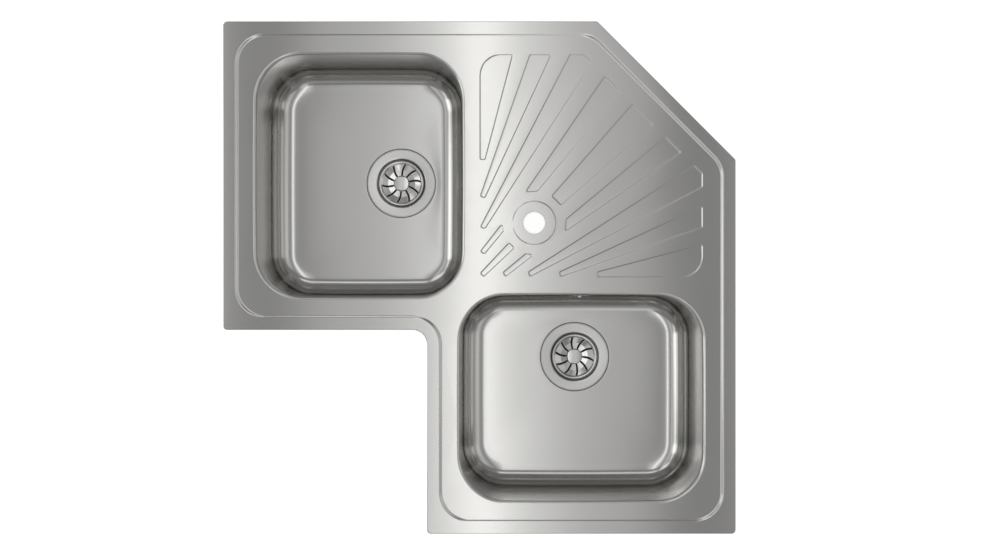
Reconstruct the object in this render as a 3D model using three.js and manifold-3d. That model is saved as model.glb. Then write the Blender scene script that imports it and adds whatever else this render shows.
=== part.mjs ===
// Corner kitchen sink with two deep bowls, a fan-shaped drainer between them, a tap hole,
// basket wastes, an overflow and the clips that hold it in a worktop.
//
// Units are millimetres, +Z is up. The origin is the centre of the outline, on the worktop
// surface. +X runs along the bottom edge to the right and +Y towards the cut-off corner's
// side, so the cut corner lies at +X +Y and the worktop's inner corner at -X -Y. The two
// arms of the sink mirror each other in the line Y = X.

import * as THREE from 'three'
import { mergeVertices } from 'three/addons/utils/BufferGeometryUtils.js'
import Module from 'manifold-3d'

const wasm = await Module()
wasm.setup()

// ---------------------------------------------------------------------------------------
// Driving dimensions
// ---------------------------------------------------------------------------------------

// Outline
const SINK_SIDE = 830 // width and depth over all
const ARM_DEPTH = 500 // front to back over one arm
const CORNER_CUT = 224 // leg of the cut-off corner
const OUTER_RADIUS = 7 // outer corners in plan
const NOTCH_RADIUS = 23 // inner corner in plan

// Sheet and rim
const SHEET = 0.9
const RIM_TOP = 3 // border's top above the worktop
const EDGE_CLEARANCE = 0.4 // turned-down edge above the worktop
const EDGE_ROUND = 1.4 // where the border turns down
const BORDER = 19 // flat border's width
const STEP_WIDTH = 6 // S-shaped step inside the border
const STEP_DROP = 2
const STEP_RADIUS = 49 // the step's outer line in the corners

// Bowls: `reach` runs from the sink's outer edge towards the drainer, `span` across it
const BOWL_REACH = 340
const BOWL_DEPTH = 180
const BOWL_MARGIN = 50 // bowl mouth to the sink's outer edges
const BOWL_CORNER = 76 // plan radius of the mouth
const BOWL_BOW = 2 // how far each side bows outwards
const MOUTH_FILLET = 4.5
const MOUTH_COLLAR = 7 // height of the mouth's turned-down collar
const WALL_RUN = 3 // how far the walls run in on their way down
const FLOOR_FILLET = 36
const FLOOR_FALL = 1.2 // floor's fall to the waste
const WASTE_OFFSET = 56.5 // waste from the bowl's centre, towards the drainer

// Drainer
const PANEL_MARGIN = 53 // panel heads to the sink's outer edge
const PANEL_FOOT = 25 // panel feet to the bowl mouths
const FOOT_WIDTH = 9.9 // a panel's width at its foot
const PANEL_PRESS = 1 // how deep the panels are pressed
const PANEL_SLOPE = 1.6 // width of a panel's sloping side, and of the tap ring's
const PANEL_ROUND = 3.4
const FIRST_PANEL_ROUND = 34 // the corner panels' outer corner
const FIRST_PANEL_HEAD = 0.325 // share of the upper head line that the first panel's head takes
const ROUND_SHARE = 0.65 // most of that head that its round corner may take
const TAP_TO_BOWLS = 113.7 // tap hole to both bowl mouths
const TAP_HOLE_RADIUS = 17.5
const TAP_RING_RADIUS = 35
const TAP_RING_RISE = 0.8
const TAP_CLEAR_RADIUS = 51 // panels stay outside this circle

// Waste and basket
const FLANGE_RADIUS = 58
const RECESS_CLEARANCE = 1
const RECESS_DEPTH = 2.2
const WASTE_HOLE_RADIUS = 46
const WELL_RADIUS = 41.5
const WELL_LEDGE_DEPTH = 2.9
const WELL_NECK_RADIUS = 37.4
const WELL_DEPTH = 22.5
const CUP_SHEET = 0.8
const CUP_HOLES = 6
const CUP_HOLE_RADIUS = 5
const BASKET_CLEARANCE = 2
const BASKET_SLOTS = 10
const SLOT_WIDTH = 2.2
const SLOT_INNER_RADIUS = 13.6
const SLOT_OUTER_RADIUS = 33
const SLOT_SWIRL = 9 // degrees a slot turns on its way out
const DISH_DEPTH = 5.8
const DISH_LIP = 3 // width of the dish's flat rim
const DISH_BREAK_RADIUS = 24 // where the dish's shallow cone turns into the steep one
const DISH_BREAK_RISE = 0.8
const DISH_STEEP_RADIUS = 33.6 // where the steep cone ends
const DISH_STEEP_RISE = 4
const BUTTON_SIDE = 24
const BUTTON_HEIGHT = 3.5
const STEM_RADIUS = 4.2
const STEM_FOOT_RADIUS = 9.2
const STEM_FOOT_HEIGHT = 1.2
const STOPPER_RADIUS = 34
const STOPPER_LIFT = 8
const TOP_SEAL = 0.8
const FLANGE_FALL = 0.4 // flange's fall from its edge to the well
const UNDER_GASKET = 2
const OUTLET_RADIUS = 23.9
const OUTLET_WALL = 3.5
const OUTLET_LENGTH = 28
const BODY_WALL = 2.5
const BODY_SHOULDER = 14 // how far the waste body draws in to the outlet's bore
const BODY_DEPTH = 46 // waste body from its top face to the outlet
const WASTE_SCREW_RADIUS = 3
const WASTE_SCREW_LENGTH = 26

// Overflow, in the right-hand bowl's drainer-side wall
const OVERFLOW_DEPTH = 37 // its centre under the deck
const ROSE_RADIUS = 19
const ROSE_SHEET = 1.2
const ROSE_HOLES = 8
const ROSE_HOLE_RADIUS = 2.4
const OVERFLOW_HOLE_RADIUS = 14
const OVERFLOW_GASKET = 2
const HOUSING_RADIUS = 21
const HOUSING_DEPTH = 17
const HOUSING_WALL = 2
const OVERFLOW_SCREW_RADIUS = 2.2
const OVERFLOW_HEAD_RADIUS = 4
const OVERFLOW_HEAD_HEIGHT = 2.4
const HOSE_RADIUS = 11
const HOSE_WALL = 1.6
const SPIGOT_WALL = 1.8
const SPIGOT_GRIP = 12 // length of hose pushed onto a spigot
const HOSE_BEND = 42
const SPIGOT_DROP = 18 // waste body's side spigot under its top face

// Seal, pads, rails and clips
const SEAL_MARGIN = 3 // seal to the turned-down edge
const SEAL_WIDTH = 12
const PAD_THICKNESS = 3
const PAD_WIDTH = 100
const PAD_LENGTH = 180
const RAIL_INSET = 36 // rail's centre line to the outline
const RAIL_WIDTH = 16
const RAIL_HEIGHT = 7
const RAIL_SHEET = 1
const RAIL_SLOT = 8
const RAIL_END = 78 // rail's ends to the outline's corners
const CLIP_PITCH = 350
const BOLT_RADIUS = 2.5
const BOLT_HEAD = 3
const BOLT_LENGTH = 46
const CLAW_DROP = 30 // claw's arm under the rail
const CLAW_SHEET = 2
const CLAW_WIDTH = 14
const CLAW_TAIL = 9
const CLAW_REACH = 30
const CLAW_RISE = 9
const NUT_RADIUS = 5
const NUT_HEIGHT = 4

// Between pieces that touch
const SEAT = 0.3

// Facets
const ROUND = 32
const ROUND_HIDDEN = 16
const ROUND_SMALL = 8
const CORNER_STEPS = 6
const BOWL_CORNER_STEPS = 7
const BOWL_SIDE_STEPS = 2

// ---------------------------------------------------------------------------------------
// Worked out from the dimensions
// ---------------------------------------------------------------------------------------

const HALF = SINK_SIDE / 2
const DECK_TOP = RIM_TOP - STEP_DROP
const DECK_UNDER = DECK_TOP - SHEET
const RIM_UNDER = RIM_TOP - SHEET
const FIELD_INSET = BORDER + STEP_WIDTH
const NOTCH = ARM_DEPTH - HALF // the inner corner lies at X = Y = -NOTCH
const BOWL_SPAN = ARM_DEPTH - 2 * BOWL_MARGIN
const BOWL_NEAR = -HALF + BOWL_MARGIN + BOWL_REACH // bowl mouth's edge at the drainer
const BOWL_REACH_CENTRE = BOWL_NEAR - BOWL_REACH / 2
const BOWL_SPAN_CENTRE = HALF - BOWL_MARGIN - BOWL_SPAN / 2
const FLOOR_EDGE_Z = DECK_TOP - BOWL_DEPTH + FLOOR_FALL
const FLOOR_Z = DECK_TOP - BOWL_DEPTH
const RECESS_RADIUS = FLANGE_RADIUS + RECESS_CLEARANCE
const RECESS_Z = FLOOR_Z - RECESS_DEPTH
const COLLAR_END_Z = DECK_TOP - MOUTH_COLLAR
const TAP = BOWL_NEAR + TAP_TO_BOWLS // tap hole's X and Y

// Each bowl's own frame: X towards the drainer, Y across, at the bowl's centre
const ARMS = [
  { side: 'left', x: BOWL_REACH_CENTRE, y: BOWL_SPAN_CENTRE, turn: 0 },
  { side: 'right', x: BOWL_SPAN_CENTRE, y: BOWL_REACH_CENTRE, turn: Math.PI / 2 },
]

const MATERIALS = {
  brushed: new THREE.MeshStandardMaterial({ color: 0xb9b8b4, roughness: 0.38, metalness: 1 }),
  polished: new THREE.MeshStandardMaterial({ color: 0xcfcecb, roughness: 0.18, metalness: 1 }),
  zinc: new THREE.MeshStandardMaterial({ color: 0x9fa3a6, roughness: 0.45, metalness: 1 }),
  rubber: new THREE.MeshStandardMaterial({ color: 0x1d1d1e, roughness: 0.85, metalness: 0 }),
  plastic: new THREE.MeshStandardMaterial({ color: 0x2c2d2e, roughness: 0.55, metalness: 0 }),
  hose: new THREE.MeshStandardMaterial({ color: 0x8f9192, roughness: 0.6, metalness: 0 }),
  foam: new THREE.MeshStandardMaterial({ color: 0x6b6c6b, roughness: 0.95, metalness: 0 }),
  bitumen: new THREE.MeshStandardMaterial({ color: 0x35322f, roughness: 0.9, metalness: 0 }),
}

const sink = new THREE.Group()

// ---------------------------------------------------------------------------------------
// Solids
// ---------------------------------------------------------------------------------------

function signedVolume(points, triangles) {
  let sum = 0
  for (let i = 0; i < triangles.length; i += 3) {
    const [a, b, c] = [triangles[i], triangles[i + 1], triangles[i + 2]].map((k) => 3 * k)
    sum +=
      points[a] * (points[b + 1] * points[c + 2] - points[b + 2] * points[c + 1]) +
      points[a + 1] * (points[b + 2] * points[c] - points[b] * points[c + 2]) +
      points[a + 2] * (points[b] * points[c + 1] - points[b + 1] * points[c])
  }
  return sum / 6
}

// Turns a closed geometry into a solid that can be joined and cut
function solid(geometry) {
  const bare = new THREE.BufferGeometry()
  bare.setAttribute('position', geometry.getAttribute('position').clone())
  if (geometry.index) bare.setIndex(geometry.index.clone())
  const merged = mergeVertices(bare, 1e-4)
  const points = merged.getAttribute('position').array
  const index = merged.index.array
  const triangles = []
  for (let i = 0; i < index.length; i += 3) {
    const [a, b, c] = [index[i], index[i + 1], index[i + 2]]
    if (a !== b && b !== c && c !== a) triangles.push(a, b, c)
  }
  if (signedVolume(points, triangles) < 0) triangles.reverse()
  return new wasm.Manifold(
    new wasm.Mesh({
      numProp: 3,
      vertProperties: new Float32Array(points),
      triVerts: new Uint32Array(triangles),
    }),
  )
}

function joined(first, ...others) {
  return others.reduce((sum, other) => sum.add(other), first)
}

function cut(base, ...tools) {
  return tools.reduce((rest, tool) => rest.subtract(tool), base)
}

function geometryOf(shape) {
  const mesh = shape.getMesh()
  const geometry = new THREE.BufferGeometry()
  geometry.setAttribute('position', new THREE.BufferAttribute(mesh.vertProperties, 3))
  geometry.setIndex(new THREE.BufferAttribute(mesh.triVerts, 1))
  geometry.computeVertexNormals()
  return geometry
}

function addPiece(name, shape, material, parent = sink) {
  const mesh = new THREE.Mesh(geometryOf(shape), material)
  mesh.name = name
  parent.add(mesh)
  return mesh
}

function addFrame(parent, x, y, z, turn = 0) {
  const frame = new THREE.Group()
  frame.position.set(x, y, z)
  frame.rotation.z = turn
  parent.add(frame)
  return frame
}

// ---------------------------------------------------------------------------------------
// Outlines: lists of [x, y], anticlockwise
// ---------------------------------------------------------------------------------------

function between(from, to, share) {
  return from + (to - from) * share
}

// Moves every side of a polygon inwards by the same distance
function inset(corners, distance) {
  return corners.map((corner, i) => {
    const before = corners.at(i - 1)
    const after = corners[(i + 1) % corners.length]
    const [ax, ay] = direction(before, corner)
    const [bx, by] = direction(corner, after)
    const along = (distance * (1 - (ax * bx + ay * by))) / (ax * by - ay * bx)
    return [corner[0] - ay * distance - ax * along, corner[1] + ax * distance - ay * along]
  })
}

function direction([x0, y0], [x1, y1]) {
  const length = Math.hypot(x1 - x0, y1 - y0)
  return [(x1 - x0) / length, (y1 - y0) / length]
}

// Rounds a polygon's corners. radiusAt(turn, i) gives a corner's radius; turn is the angle by
// which the outline turns there, positive at an outward corner.
function rounded(corners, radiusAt, steps) {
  return corners.flatMap((corner, i) => {
    const [ax, ay] = direction(corners.at(i - 1), corner)
    const [bx, by] = direction(corner, corners[(i + 1) % corners.length])
    const turn = Math.atan2(ax * by - ay * bx, ax * bx + ay * by)
    const radius = radiusAt(turn, i)
    const back = radius * Math.tan(Math.abs(turn) / 2)
    const side = Math.sign(turn)
    const startX = corner[0] - ax * back
    const startY = corner[1] - ay * back
    const centreX = startX - ay * side * radius
    const centreY = startY + ax * side * radius
    return Array.from({ length: steps + 1 }, (_, k) => {
      const angle = (turn * k) / steps
      const [fromX, fromY] = [startX - centreX, startY - centreY]
      return [
        centreX + fromX * Math.cos(angle) - fromY * Math.sin(angle),
        centreY + fromX * Math.sin(angle) + fromY * Math.cos(angle),
      ]
    })
  })
}

function atHeight(points, z) {
  return points.map(([x, y]) => [x, y, z])
}

// Joins a stack of loops with equally many points, from the bottom one to the top one
function loft(loops) {
  const count = loops[0].length
  const index = []
  for (let level = 0; level + 1 < loops.length; level += 1) {
    for (let i = 0; i < count; i += 1) {
      const next = (i + 1) % count
      const [a, b] = [level * count + i, level * count + next]
      index.push(a, b, b + count, a, b + count, a + count)
    }
  }
  const flat = (loop) => loop.map(([x, y]) => new THREE.Vector2(x, y))
  const top = (loops.length - 1) * count
  for (const [a, b, c] of THREE.ShapeUtils.triangulateShape(flat(loops[0]), [])) {
    index.push(c, b, a)
  }
  for (const [a, b, c] of THREE.ShapeUtils.triangulateShape(flat(loops.at(-1)), [])) {
    index.push(top + a, top + b, top + c)
  }
  const geometry = new THREE.BufferGeometry()
  geometry.setAttribute('position', new THREE.Float32BufferAttribute(loops.flat(2), 3))
  geometry.setIndex(index)
  return solid(geometry)
}

function prism(points, bottom, top) {
  return loft([atHeight(points, bottom), atHeight(points, top)])
}

// Turns a profile of [radius, z] about Z; it starts and ends on the axis, or closes on itself
function turned(profile, segments, x = 0, y = 0) {
  const points = profile.map(([radius, z]) => new THREE.Vector2(radius, z))
  const onAxis = profile[0][0] === 0 && profile.at(-1)[0] === 0
  if (!onAxis) points.push(points[0].clone())
  const geometry = new THREE.LatheGeometry(points, segments)
  geometry.rotateX(Math.PI / 2)
  geometry.translate(x, y, 0)
  return solid(geometry)
}

// The corner radius of a faceted hole whose flats clear a round piece
function clearing(radius, segments) {
  return (radius + SEAT) / Math.cos(Math.PI / segments)
}

function cylinder(radius, bottom, top, segments, x = 0, y = 0) {
  const profile = [[0, bottom], [radius, bottom], [radius, top], [0, top]]
  return turned(profile, segments, x, y)
}

function ring(inner, outer, bottom, top, segments) {
  return turned([[inner, bottom], [outer, bottom], [outer, top], [inner, top]], segments)
}

function box(x0, x1, y0, y1, z0, z1) {
  const geometry = new THREE.BoxGeometry(x1 - x0, y1 - y0, z1 - z0)
  geometry.translate((x0 + x1) / 2, (y0 + y1) / 2, (z0 + z1) / 2)
  return solid(geometry)
}

// ---------------------------------------------------------------------------------------
// The sink's plan
// ---------------------------------------------------------------------------------------

const OUTLINE = [
  [-HALF, -NOTCH],
  [-NOTCH, -NOTCH],
  [-NOTCH, -HALF],
  [HALF, -HALF],
  [HALF, HALF - CORNER_CUT],
  [HALF - CORNER_CUT, HALF],
  [-HALF, HALF],
]

// The outline moved inwards. The border's corners are sharp outside and wide at the step.
function rimLoop(distance, z, steps = CORNER_STEPS) {
  const outward = distance < BORDER ? OUTER_RADIUS : STEP_RADIUS + BORDER - distance
  const radiusAt = (turn) => (turn > 0 ? outward : NOTCH_RADIUS + distance)
  return atHeight(rounded(inset(OUTLINE, distance), radiusAt, steps), z)
}

// The bowl's mouth in its own frame, moved inwards. Its sides bow outwards a little.
function bowlLoop(distance, z) {
  const halfX = BOWL_REACH / 2
  const halfY = BOWL_SPAN / 2
  const corners = [
    [halfX, halfY],
    [-halfX, halfY],
    [-halfX, -halfY],
    [halfX, -halfY],
  ]
  const arcs = rounded(inset(corners, distance), () => BOWL_CORNER - distance, BOWL_CORNER_STEPS)
  const loop = arcs.flatMap((point, i) => {
    if ((i + 1) % (BOWL_CORNER_STEPS + 1) !== 0) return [point]
    const next = arcs[(i + 1) % arcs.length]
    const side = Array.from({ length: BOWL_SIDE_STEPS }, (_, k) => {
      const share = (k + 1) / (BOWL_SIDE_STEPS + 1)
      return [0, 1].map((axis) => between(point[axis], next[axis], share))
    })
    return [point, ...side]
  })
  return loop.map(([x, y]) => [
    x + BOWL_BOW * (x / halfX) * (1 - (y / halfY) ** 2),
    y + BOWL_BOW * (y / halfY) * (1 - (x / halfX) ** 2),
    z,
  ])
}

function inSinkFrame(loop, arm) {
  return loop.map(([x, y, z]) =>
    arm.turn === 0 ? [arm.x + x, arm.y + y, z] : [arm.x - y, arm.y + x, z],
  )
}

// ---------------------------------------------------------------------------------------
// Drainer
// ---------------------------------------------------------------------------------------

const FOOT = BOWL_NEAR + PANEL_FOOT // the foot lines' X and Y
const HEAD = HALF - PANEL_MARGIN // the head lines' Y and X
const CUT_HEAD = 2 * HALF - CORNER_CUT - PANEL_MARGIN * Math.SQRT2 // X + Y on the cut head line
const CUT_START = CUT_HEAD - HEAD // X where the upper head line meets the cut one
const CUT_MIDDLE = CUT_HEAD / 2

const mirrored = ([x, y]) => [y, x]

// A place on the upper head line, by its share of the way to the cut one, and a place on the
// cut head line, by its share of the way to the middle
const onTop = (share) => [between(FOOT, CUT_START, share), HEAD]
const onCut = (share) => {
  const x = between(CUT_START, CUT_MIDDLE, share)
  return [x, CUT_HEAD - x]
}

// Both ends of a panel's foot, from a share of the foot line's height, tilted by an angle
function atFoot(share, tilt) {
  const angle = THREE.MathUtils.degToRad(tilt)
  const y = between(FOOT, HEAD, share)
  return [[FOOT, y], [FOOT + FOOT_WIDTH * Math.cos(angle), y - FOOT_WIDTH * Math.sin(angle)]]
}

// Points on the circle that the panels keep clear round the tap hole
function roundTap(...angles) {
  return angles.map(THREE.MathUtils.degToRad).map((angle) => [
    TAP + TAP_CLEAR_RADIUS * Math.cos(angle),
    TAP + TAP_CLEAR_RADIUS * Math.sin(angle),
  ])
}

// Half the fan, anticlockwise: each panel's foot, then its head. The other half mirrors it.
const HALF_FAN = [
  [...atFoot(0.525, 0), onTop(FIRST_PANEL_HEAD), onTop(0)],
  [...atFoot(0.362, 18), onTop(0.695), onTop(0.479)],
  [...atFoot(0.224, 18), onCut(0.145), onTop(1), onTop(0.864)],
  [...roundTap(109, 83), onCut(0.627), onCut(0.352)],
  [...atFoot(0.116, 32), ...roundTap(196, 178)],
]
const MIDDLE_HEAD = onCut(0.819)
const MIDDLE_FOOT = [FOOT, FOOT + FOOT_WIDTH * Math.SQRT1_2]
const MIDDLE_PANELS = [
  [...roundTap(58, 32), mirrored(MIDDLE_HEAD), MIDDLE_HEAD],
  [MIDDLE_FOOT, mirrored(MIDDLE_FOOT), ...roundTap(233, 217)],
]

function fanPanels() {
  const mirrorImage = (corners) => corners.map(mirrored).reverse()
  const isWide = ([x, y]) => x === FOOT && y === HEAD
  const headWidth = onTop(FIRST_PANEL_HEAD)[0] - FOOT
  const wideRound = Math.min(FIRST_PANEL_ROUND, ROUND_SHARE * headWidth)
  const panels = [...HALF_FAN, ...HALF_FAN.map(mirrorImage), ...MIDDLE_PANELS]
  return panels.map((corners) => ({
    corners,
    radii: corners.map((corner) =>
      isWide(corner) || isWide(mirrored(corner)) ? wideRound : PANEL_ROUND,
    ),
  }))
}

function panelLoop({ corners, radii }, distance, z) {
  const radiusAt = (turn, i) => Math.max(radii[i] - distance, 0.5)
  return atHeight(rounded(inset(corners, distance), radiusAt, 2), z)
}

// The sheet pushed down under a panel, and the hollow left above it
function panelPress(panel) {
  const shift = SHEET / 2
  const swell = loft([
    panelLoop(panel, PANEL_SLOPE - shift, DECK_UNDER - PANEL_PRESS),
    panelLoop(panel, -shift, DECK_UNDER),
    panelLoop(panel, -shift, DECK_UNDER + SHEET / 3),
  ])
  const hollow = loft([
    panelLoop(panel, PANEL_SLOPE, DECK_TOP - PANEL_PRESS),
    panelLoop(panel, 0, DECK_TOP),
    panelLoop(panel, 0, RIM_TOP),
  ])
  return { swell, hollow }
}

// ---------------------------------------------------------------------------------------
// Deck: rim, border, step, field, bowl mouths, drainer and tap hole in one sheet
// ---------------------------------------------------------------------------------------

function rimmedSheet() {
  return loft([
    rimLoop(FIELD_INSET - SHEET / 3, DECK_UNDER),
    rimLoop(BORDER, RIM_UNDER),
    rimLoop(EDGE_ROUND + SHEET / 3, RIM_UNDER),
    rimLoop(SHEET, RIM_TOP - EDGE_ROUND),
    rimLoop(SHEET, EDGE_CLEARANCE),
    rimLoop(0, EDGE_CLEARANCE),
    rimLoop(0, RIM_TOP - EDGE_ROUND),
    rimLoop(EDGE_ROUND * 0.3, RIM_TOP - EDGE_ROUND * 0.3),
    rimLoop(EDGE_ROUND, RIM_TOP),
    rimLoop(BORDER, RIM_TOP),
    rimLoop(BORDER + STEP_WIDTH * 0.3, RIM_TOP - STEP_DROP * 0.22),
    rimLoop(BORDER + STEP_WIDTH * 0.7, RIM_TOP - STEP_DROP * 0.78),
    rimLoop(FIELD_INSET, DECK_TOP),
  ])
}

// The quarter-round collar that turns the deck down into a bowl
function mouthCollar(arm) {
  const overlap = 1
  const arcAngles = [30, 60, 90].map(THREE.MathUtils.degToRad)
  const at = (distance, z) => inSinkFrame(bowlLoop(distance, z), arm)
  const arc = (radius, drop) =>
    arcAngles.map((angle) => [radius * Math.sin(angle), drop - radius * (1 - Math.cos(angle))])
  const under = arc(MOUTH_FILLET - SHEET, DECK_UNDER).map(([d, z]) => at(d, z))
  const over = arc(MOUTH_FILLET, DECK_TOP).map(([d, z]) => at(d, z))
  const outside = loft(
    [
      at(-overlap, DECK_TOP),
      at(-overlap, DECK_UNDER),
      at(0, DECK_UNDER),
      ...under,
      at(MOUTH_FILLET - SHEET, COLLAR_END_Z),
    ].reverse(),
  )
  const opening = loft(
    [at(0, RIM_TOP), at(0, DECK_TOP), ...over, at(MOUTH_FILLET, COLLAR_END_Z - 1)].reverse(),
  )
  return cut(outside, opening)
}

function tapDisc() {
  const top = DECK_TOP + TAP_RING_RISE
  const lift = DECK_UNDER + TAP_RING_RISE
  const disc = turned(
    [
      [0, DECK_UNDER + SHEET / 3],
      [TAP_RING_RADIUS + PANEL_SLOPE / 2, DECK_UNDER + SHEET / 3],
      [TAP_RING_RADIUS + PANEL_SLOPE / 2, DECK_TOP],
      [TAP_RING_RADIUS - PANEL_SLOPE / 2, top],
      [0, top],
    ],
    ROUND,
    TAP,
    TAP,
  )
  const underneath = turned(
    [
      [0, DECK_UNDER - 1],
      [TAP_RING_RADIUS + PANEL_SLOPE / 2 - SHEET / 2, DECK_UNDER - 1],
      [TAP_RING_RADIUS + PANEL_SLOPE / 2 - SHEET / 2, DECK_UNDER],
      [TAP_RING_RADIUS - PANEL_SLOPE / 2 - SHEET / 2, lift],
      [0, lift],
    ],
    ROUND,
    TAP,
    TAP,
  )
  return { disc, underneath }
}

function addDeck() {
  const panels = fanPanels().map(panelPress)
  const mouths = ARMS.map((arm) => {
    const loop = (z) => inSinkFrame(bowlLoop(0, z), arm)
    return loft([loop(DECK_UNDER - 2), loop(RIM_TOP)])
  })
  const { disc, underneath } = tapDisc()
  const sheet = cut(rimmedSheet(), ...mouths)
  const raised = joined(sheet, ...ARMS.map(mouthCollar), ...panels.map((p) => p.swell), disc)
  const tapHole = cylinder(TAP_HOLE_RADIUS, DECK_UNDER - 2, RIM_TOP, ROUND, TAP, TAP)
  const deck = cut(raised, ...panels.map((p) => p.hollow), underneath, tapHole)
  addPiece('deck', deck, MATERIALS.brushed)
}

// ---------------------------------------------------------------------------------------
// Bowls
// ---------------------------------------------------------------------------------------

// How far the bowl's wall has moved in from the mouth at a height
function wallInset(z) {
  const filletTop = FLOOR_EDGE_Z + FLOOR_FILLET
  return MOUTH_FILLET + (WALL_RUN * (COLLAR_END_Z - z)) / (COLLAR_END_Z - filletTop)
}

// Loops from the bowl's floor up to its top edge; grow moves the surface outwards
function bowlSurface(grow, topZ) {
  const filletTop = FLOOR_EDGE_Z + FLOOR_FILLET
  const centre = wallInset(filletTop) + FLOOR_FILLET
  const radius = FLOOR_FILLET + grow
  const arc = [90, 67.5, 45, 22.5, 0].map(THREE.MathUtils.degToRad).map((angle) =>
    bowlLoop(centre - radius * Math.cos(angle), filletTop - radius * Math.sin(angle)),
  )
  const share = 0.3
  const lowest = arc[0].map(([x, y]) => [
    WASTE_OFFSET + (x - WASTE_OFFSET) * share,
    y * share,
    FLOOR_Z - grow,
  ])
  return [lowest, ...arc, bowlLoop(MOUTH_FILLET - grow, topZ)]
}

// The wall's place in the bowl's frame, at the middle of its drainer side
function wallAt(z) {
  const half = BOWL_REACH / 2
  const x = half - wallInset(z)
  return x + (BOWL_BOW * x) / half
}

const BOWL_TOP_Z = COLLAR_END_Z - SEAT
const OVERFLOW_Z = DECK_TOP - OVERFLOW_DEPTH

function bowlShell(hasOverflow) {
  const shell = cut(
    loft(bowlSurface(SHEET, BOWL_TOP_Z)),
    loft([...bowlSurface(0, BOWL_TOP_Z), bowlLoop(MOUTH_FILLET, BOWL_TOP_Z + 1)]),
  )
  const slope = RECESS_DEPTH / 2
  const pushed = turned(
    [
      [0, RECESS_Z - SHEET],
      [RECESS_RADIUS + SHEET / 2, RECESS_Z - SHEET],
      [RECESS_RADIUS + slope + SHEET / 2, FLOOR_Z - SHEET / 2],
      [0, FLOOR_Z - SHEET / 2],
    ],
    ROUND,
    WASTE_OFFSET,
  )
  const recess = turned(
    [
      [0, RECESS_Z],
      [RECESS_RADIUS, RECESS_Z],
      [RECESS_RADIUS + slope, FLOOR_Z + FLOOR_FALL],
      [0, FLOOR_Z + FLOOR_FALL],
    ],
    ROUND,
    WASTE_OFFSET,
  )
  const hole = cylinder(WASTE_HOLE_RADIUS, RECESS_Z - 5, RECESS_Z + 5, ROUND, WASTE_OFFSET)
  const bowl = cut(joined(shell, pushed), recess, hole)
  if (!hasOverflow) return bowl
  const overflowHole = sideways(cylinder(OVERFLOW_HOLE_RADIUS, -5, 5, ROUND_HIDDEN))
  return cut(bowl, moved(overflowHole, wallAt(OVERFLOW_Z), 0, OVERFLOW_Z))
}

// Lays a solid's Z axis along -X, so that its -Z end points behind the bowl's wall
function sideways(shape) {
  const geometry = geometryOf(shape)
  geometry.rotateY(-Math.PI / 2)
  return solid(geometry)
}

function moved(shape, x, y, z) {
  const geometry = geometryOf(shape)
  geometry.translate(x, y, z)
  return solid(geometry)
}

function addBowl(arm, frame) {
  addPiece(`bowl_${arm.side}`, bowlShell(arm.side === 'right'), MATERIALS.brushed, frame)
}

// A sound-deadening pad stuck under the floor, beside the waste
function addPad(arm, frame) {
  const top = FLOOR_Z - SHEET - SEAT
  const edge = WASTE_OFFSET - RECESS_RADIUS - RECESS_DEPTH - 12
  const corners = [
    [edge - PAD_WIDTH, -PAD_LENGTH / 2],
    [edge, -PAD_LENGTH / 2],
    [edge, PAD_LENGTH / 2],
    [edge - PAD_WIDTH, PAD_LENGTH / 2],
  ]
  const pad = prism(rounded(corners, () => 10, 3), top - PAD_THICKNESS, top)
  addPiece(`sound_pad_${arm.side}`, pad, MATERIALS.bitumen, frame)
}

// ---------------------------------------------------------------------------------------
// Waste: its frame's origin is the middle of the recess in the bowl's floor
// ---------------------------------------------------------------------------------------

const FLANGE_UNDER = SEAT + TOP_SEAL + SEAT + FLANGE_FALL
const FLANGE_TOP = FLANGE_UNDER + CUP_SHEET
const GASKET_TOP = -SHEET - SEAT
const BODY_TOP = GASKET_TOP - UNDER_GASKET - SEAT
const OUTLET_TOP = BODY_TOP - BODY_DEPTH
const OUTLET_END = OUTLET_TOP - OUTLET_LENGTH
const SCREW_HEAD_UNDER = -WELL_DEPTH + SEAT
const SCREW_HEAD_HEIGHT = 3
const SCREW_END = SCREW_HEAD_UNDER - WASTE_SCREW_LENGTH

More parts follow.
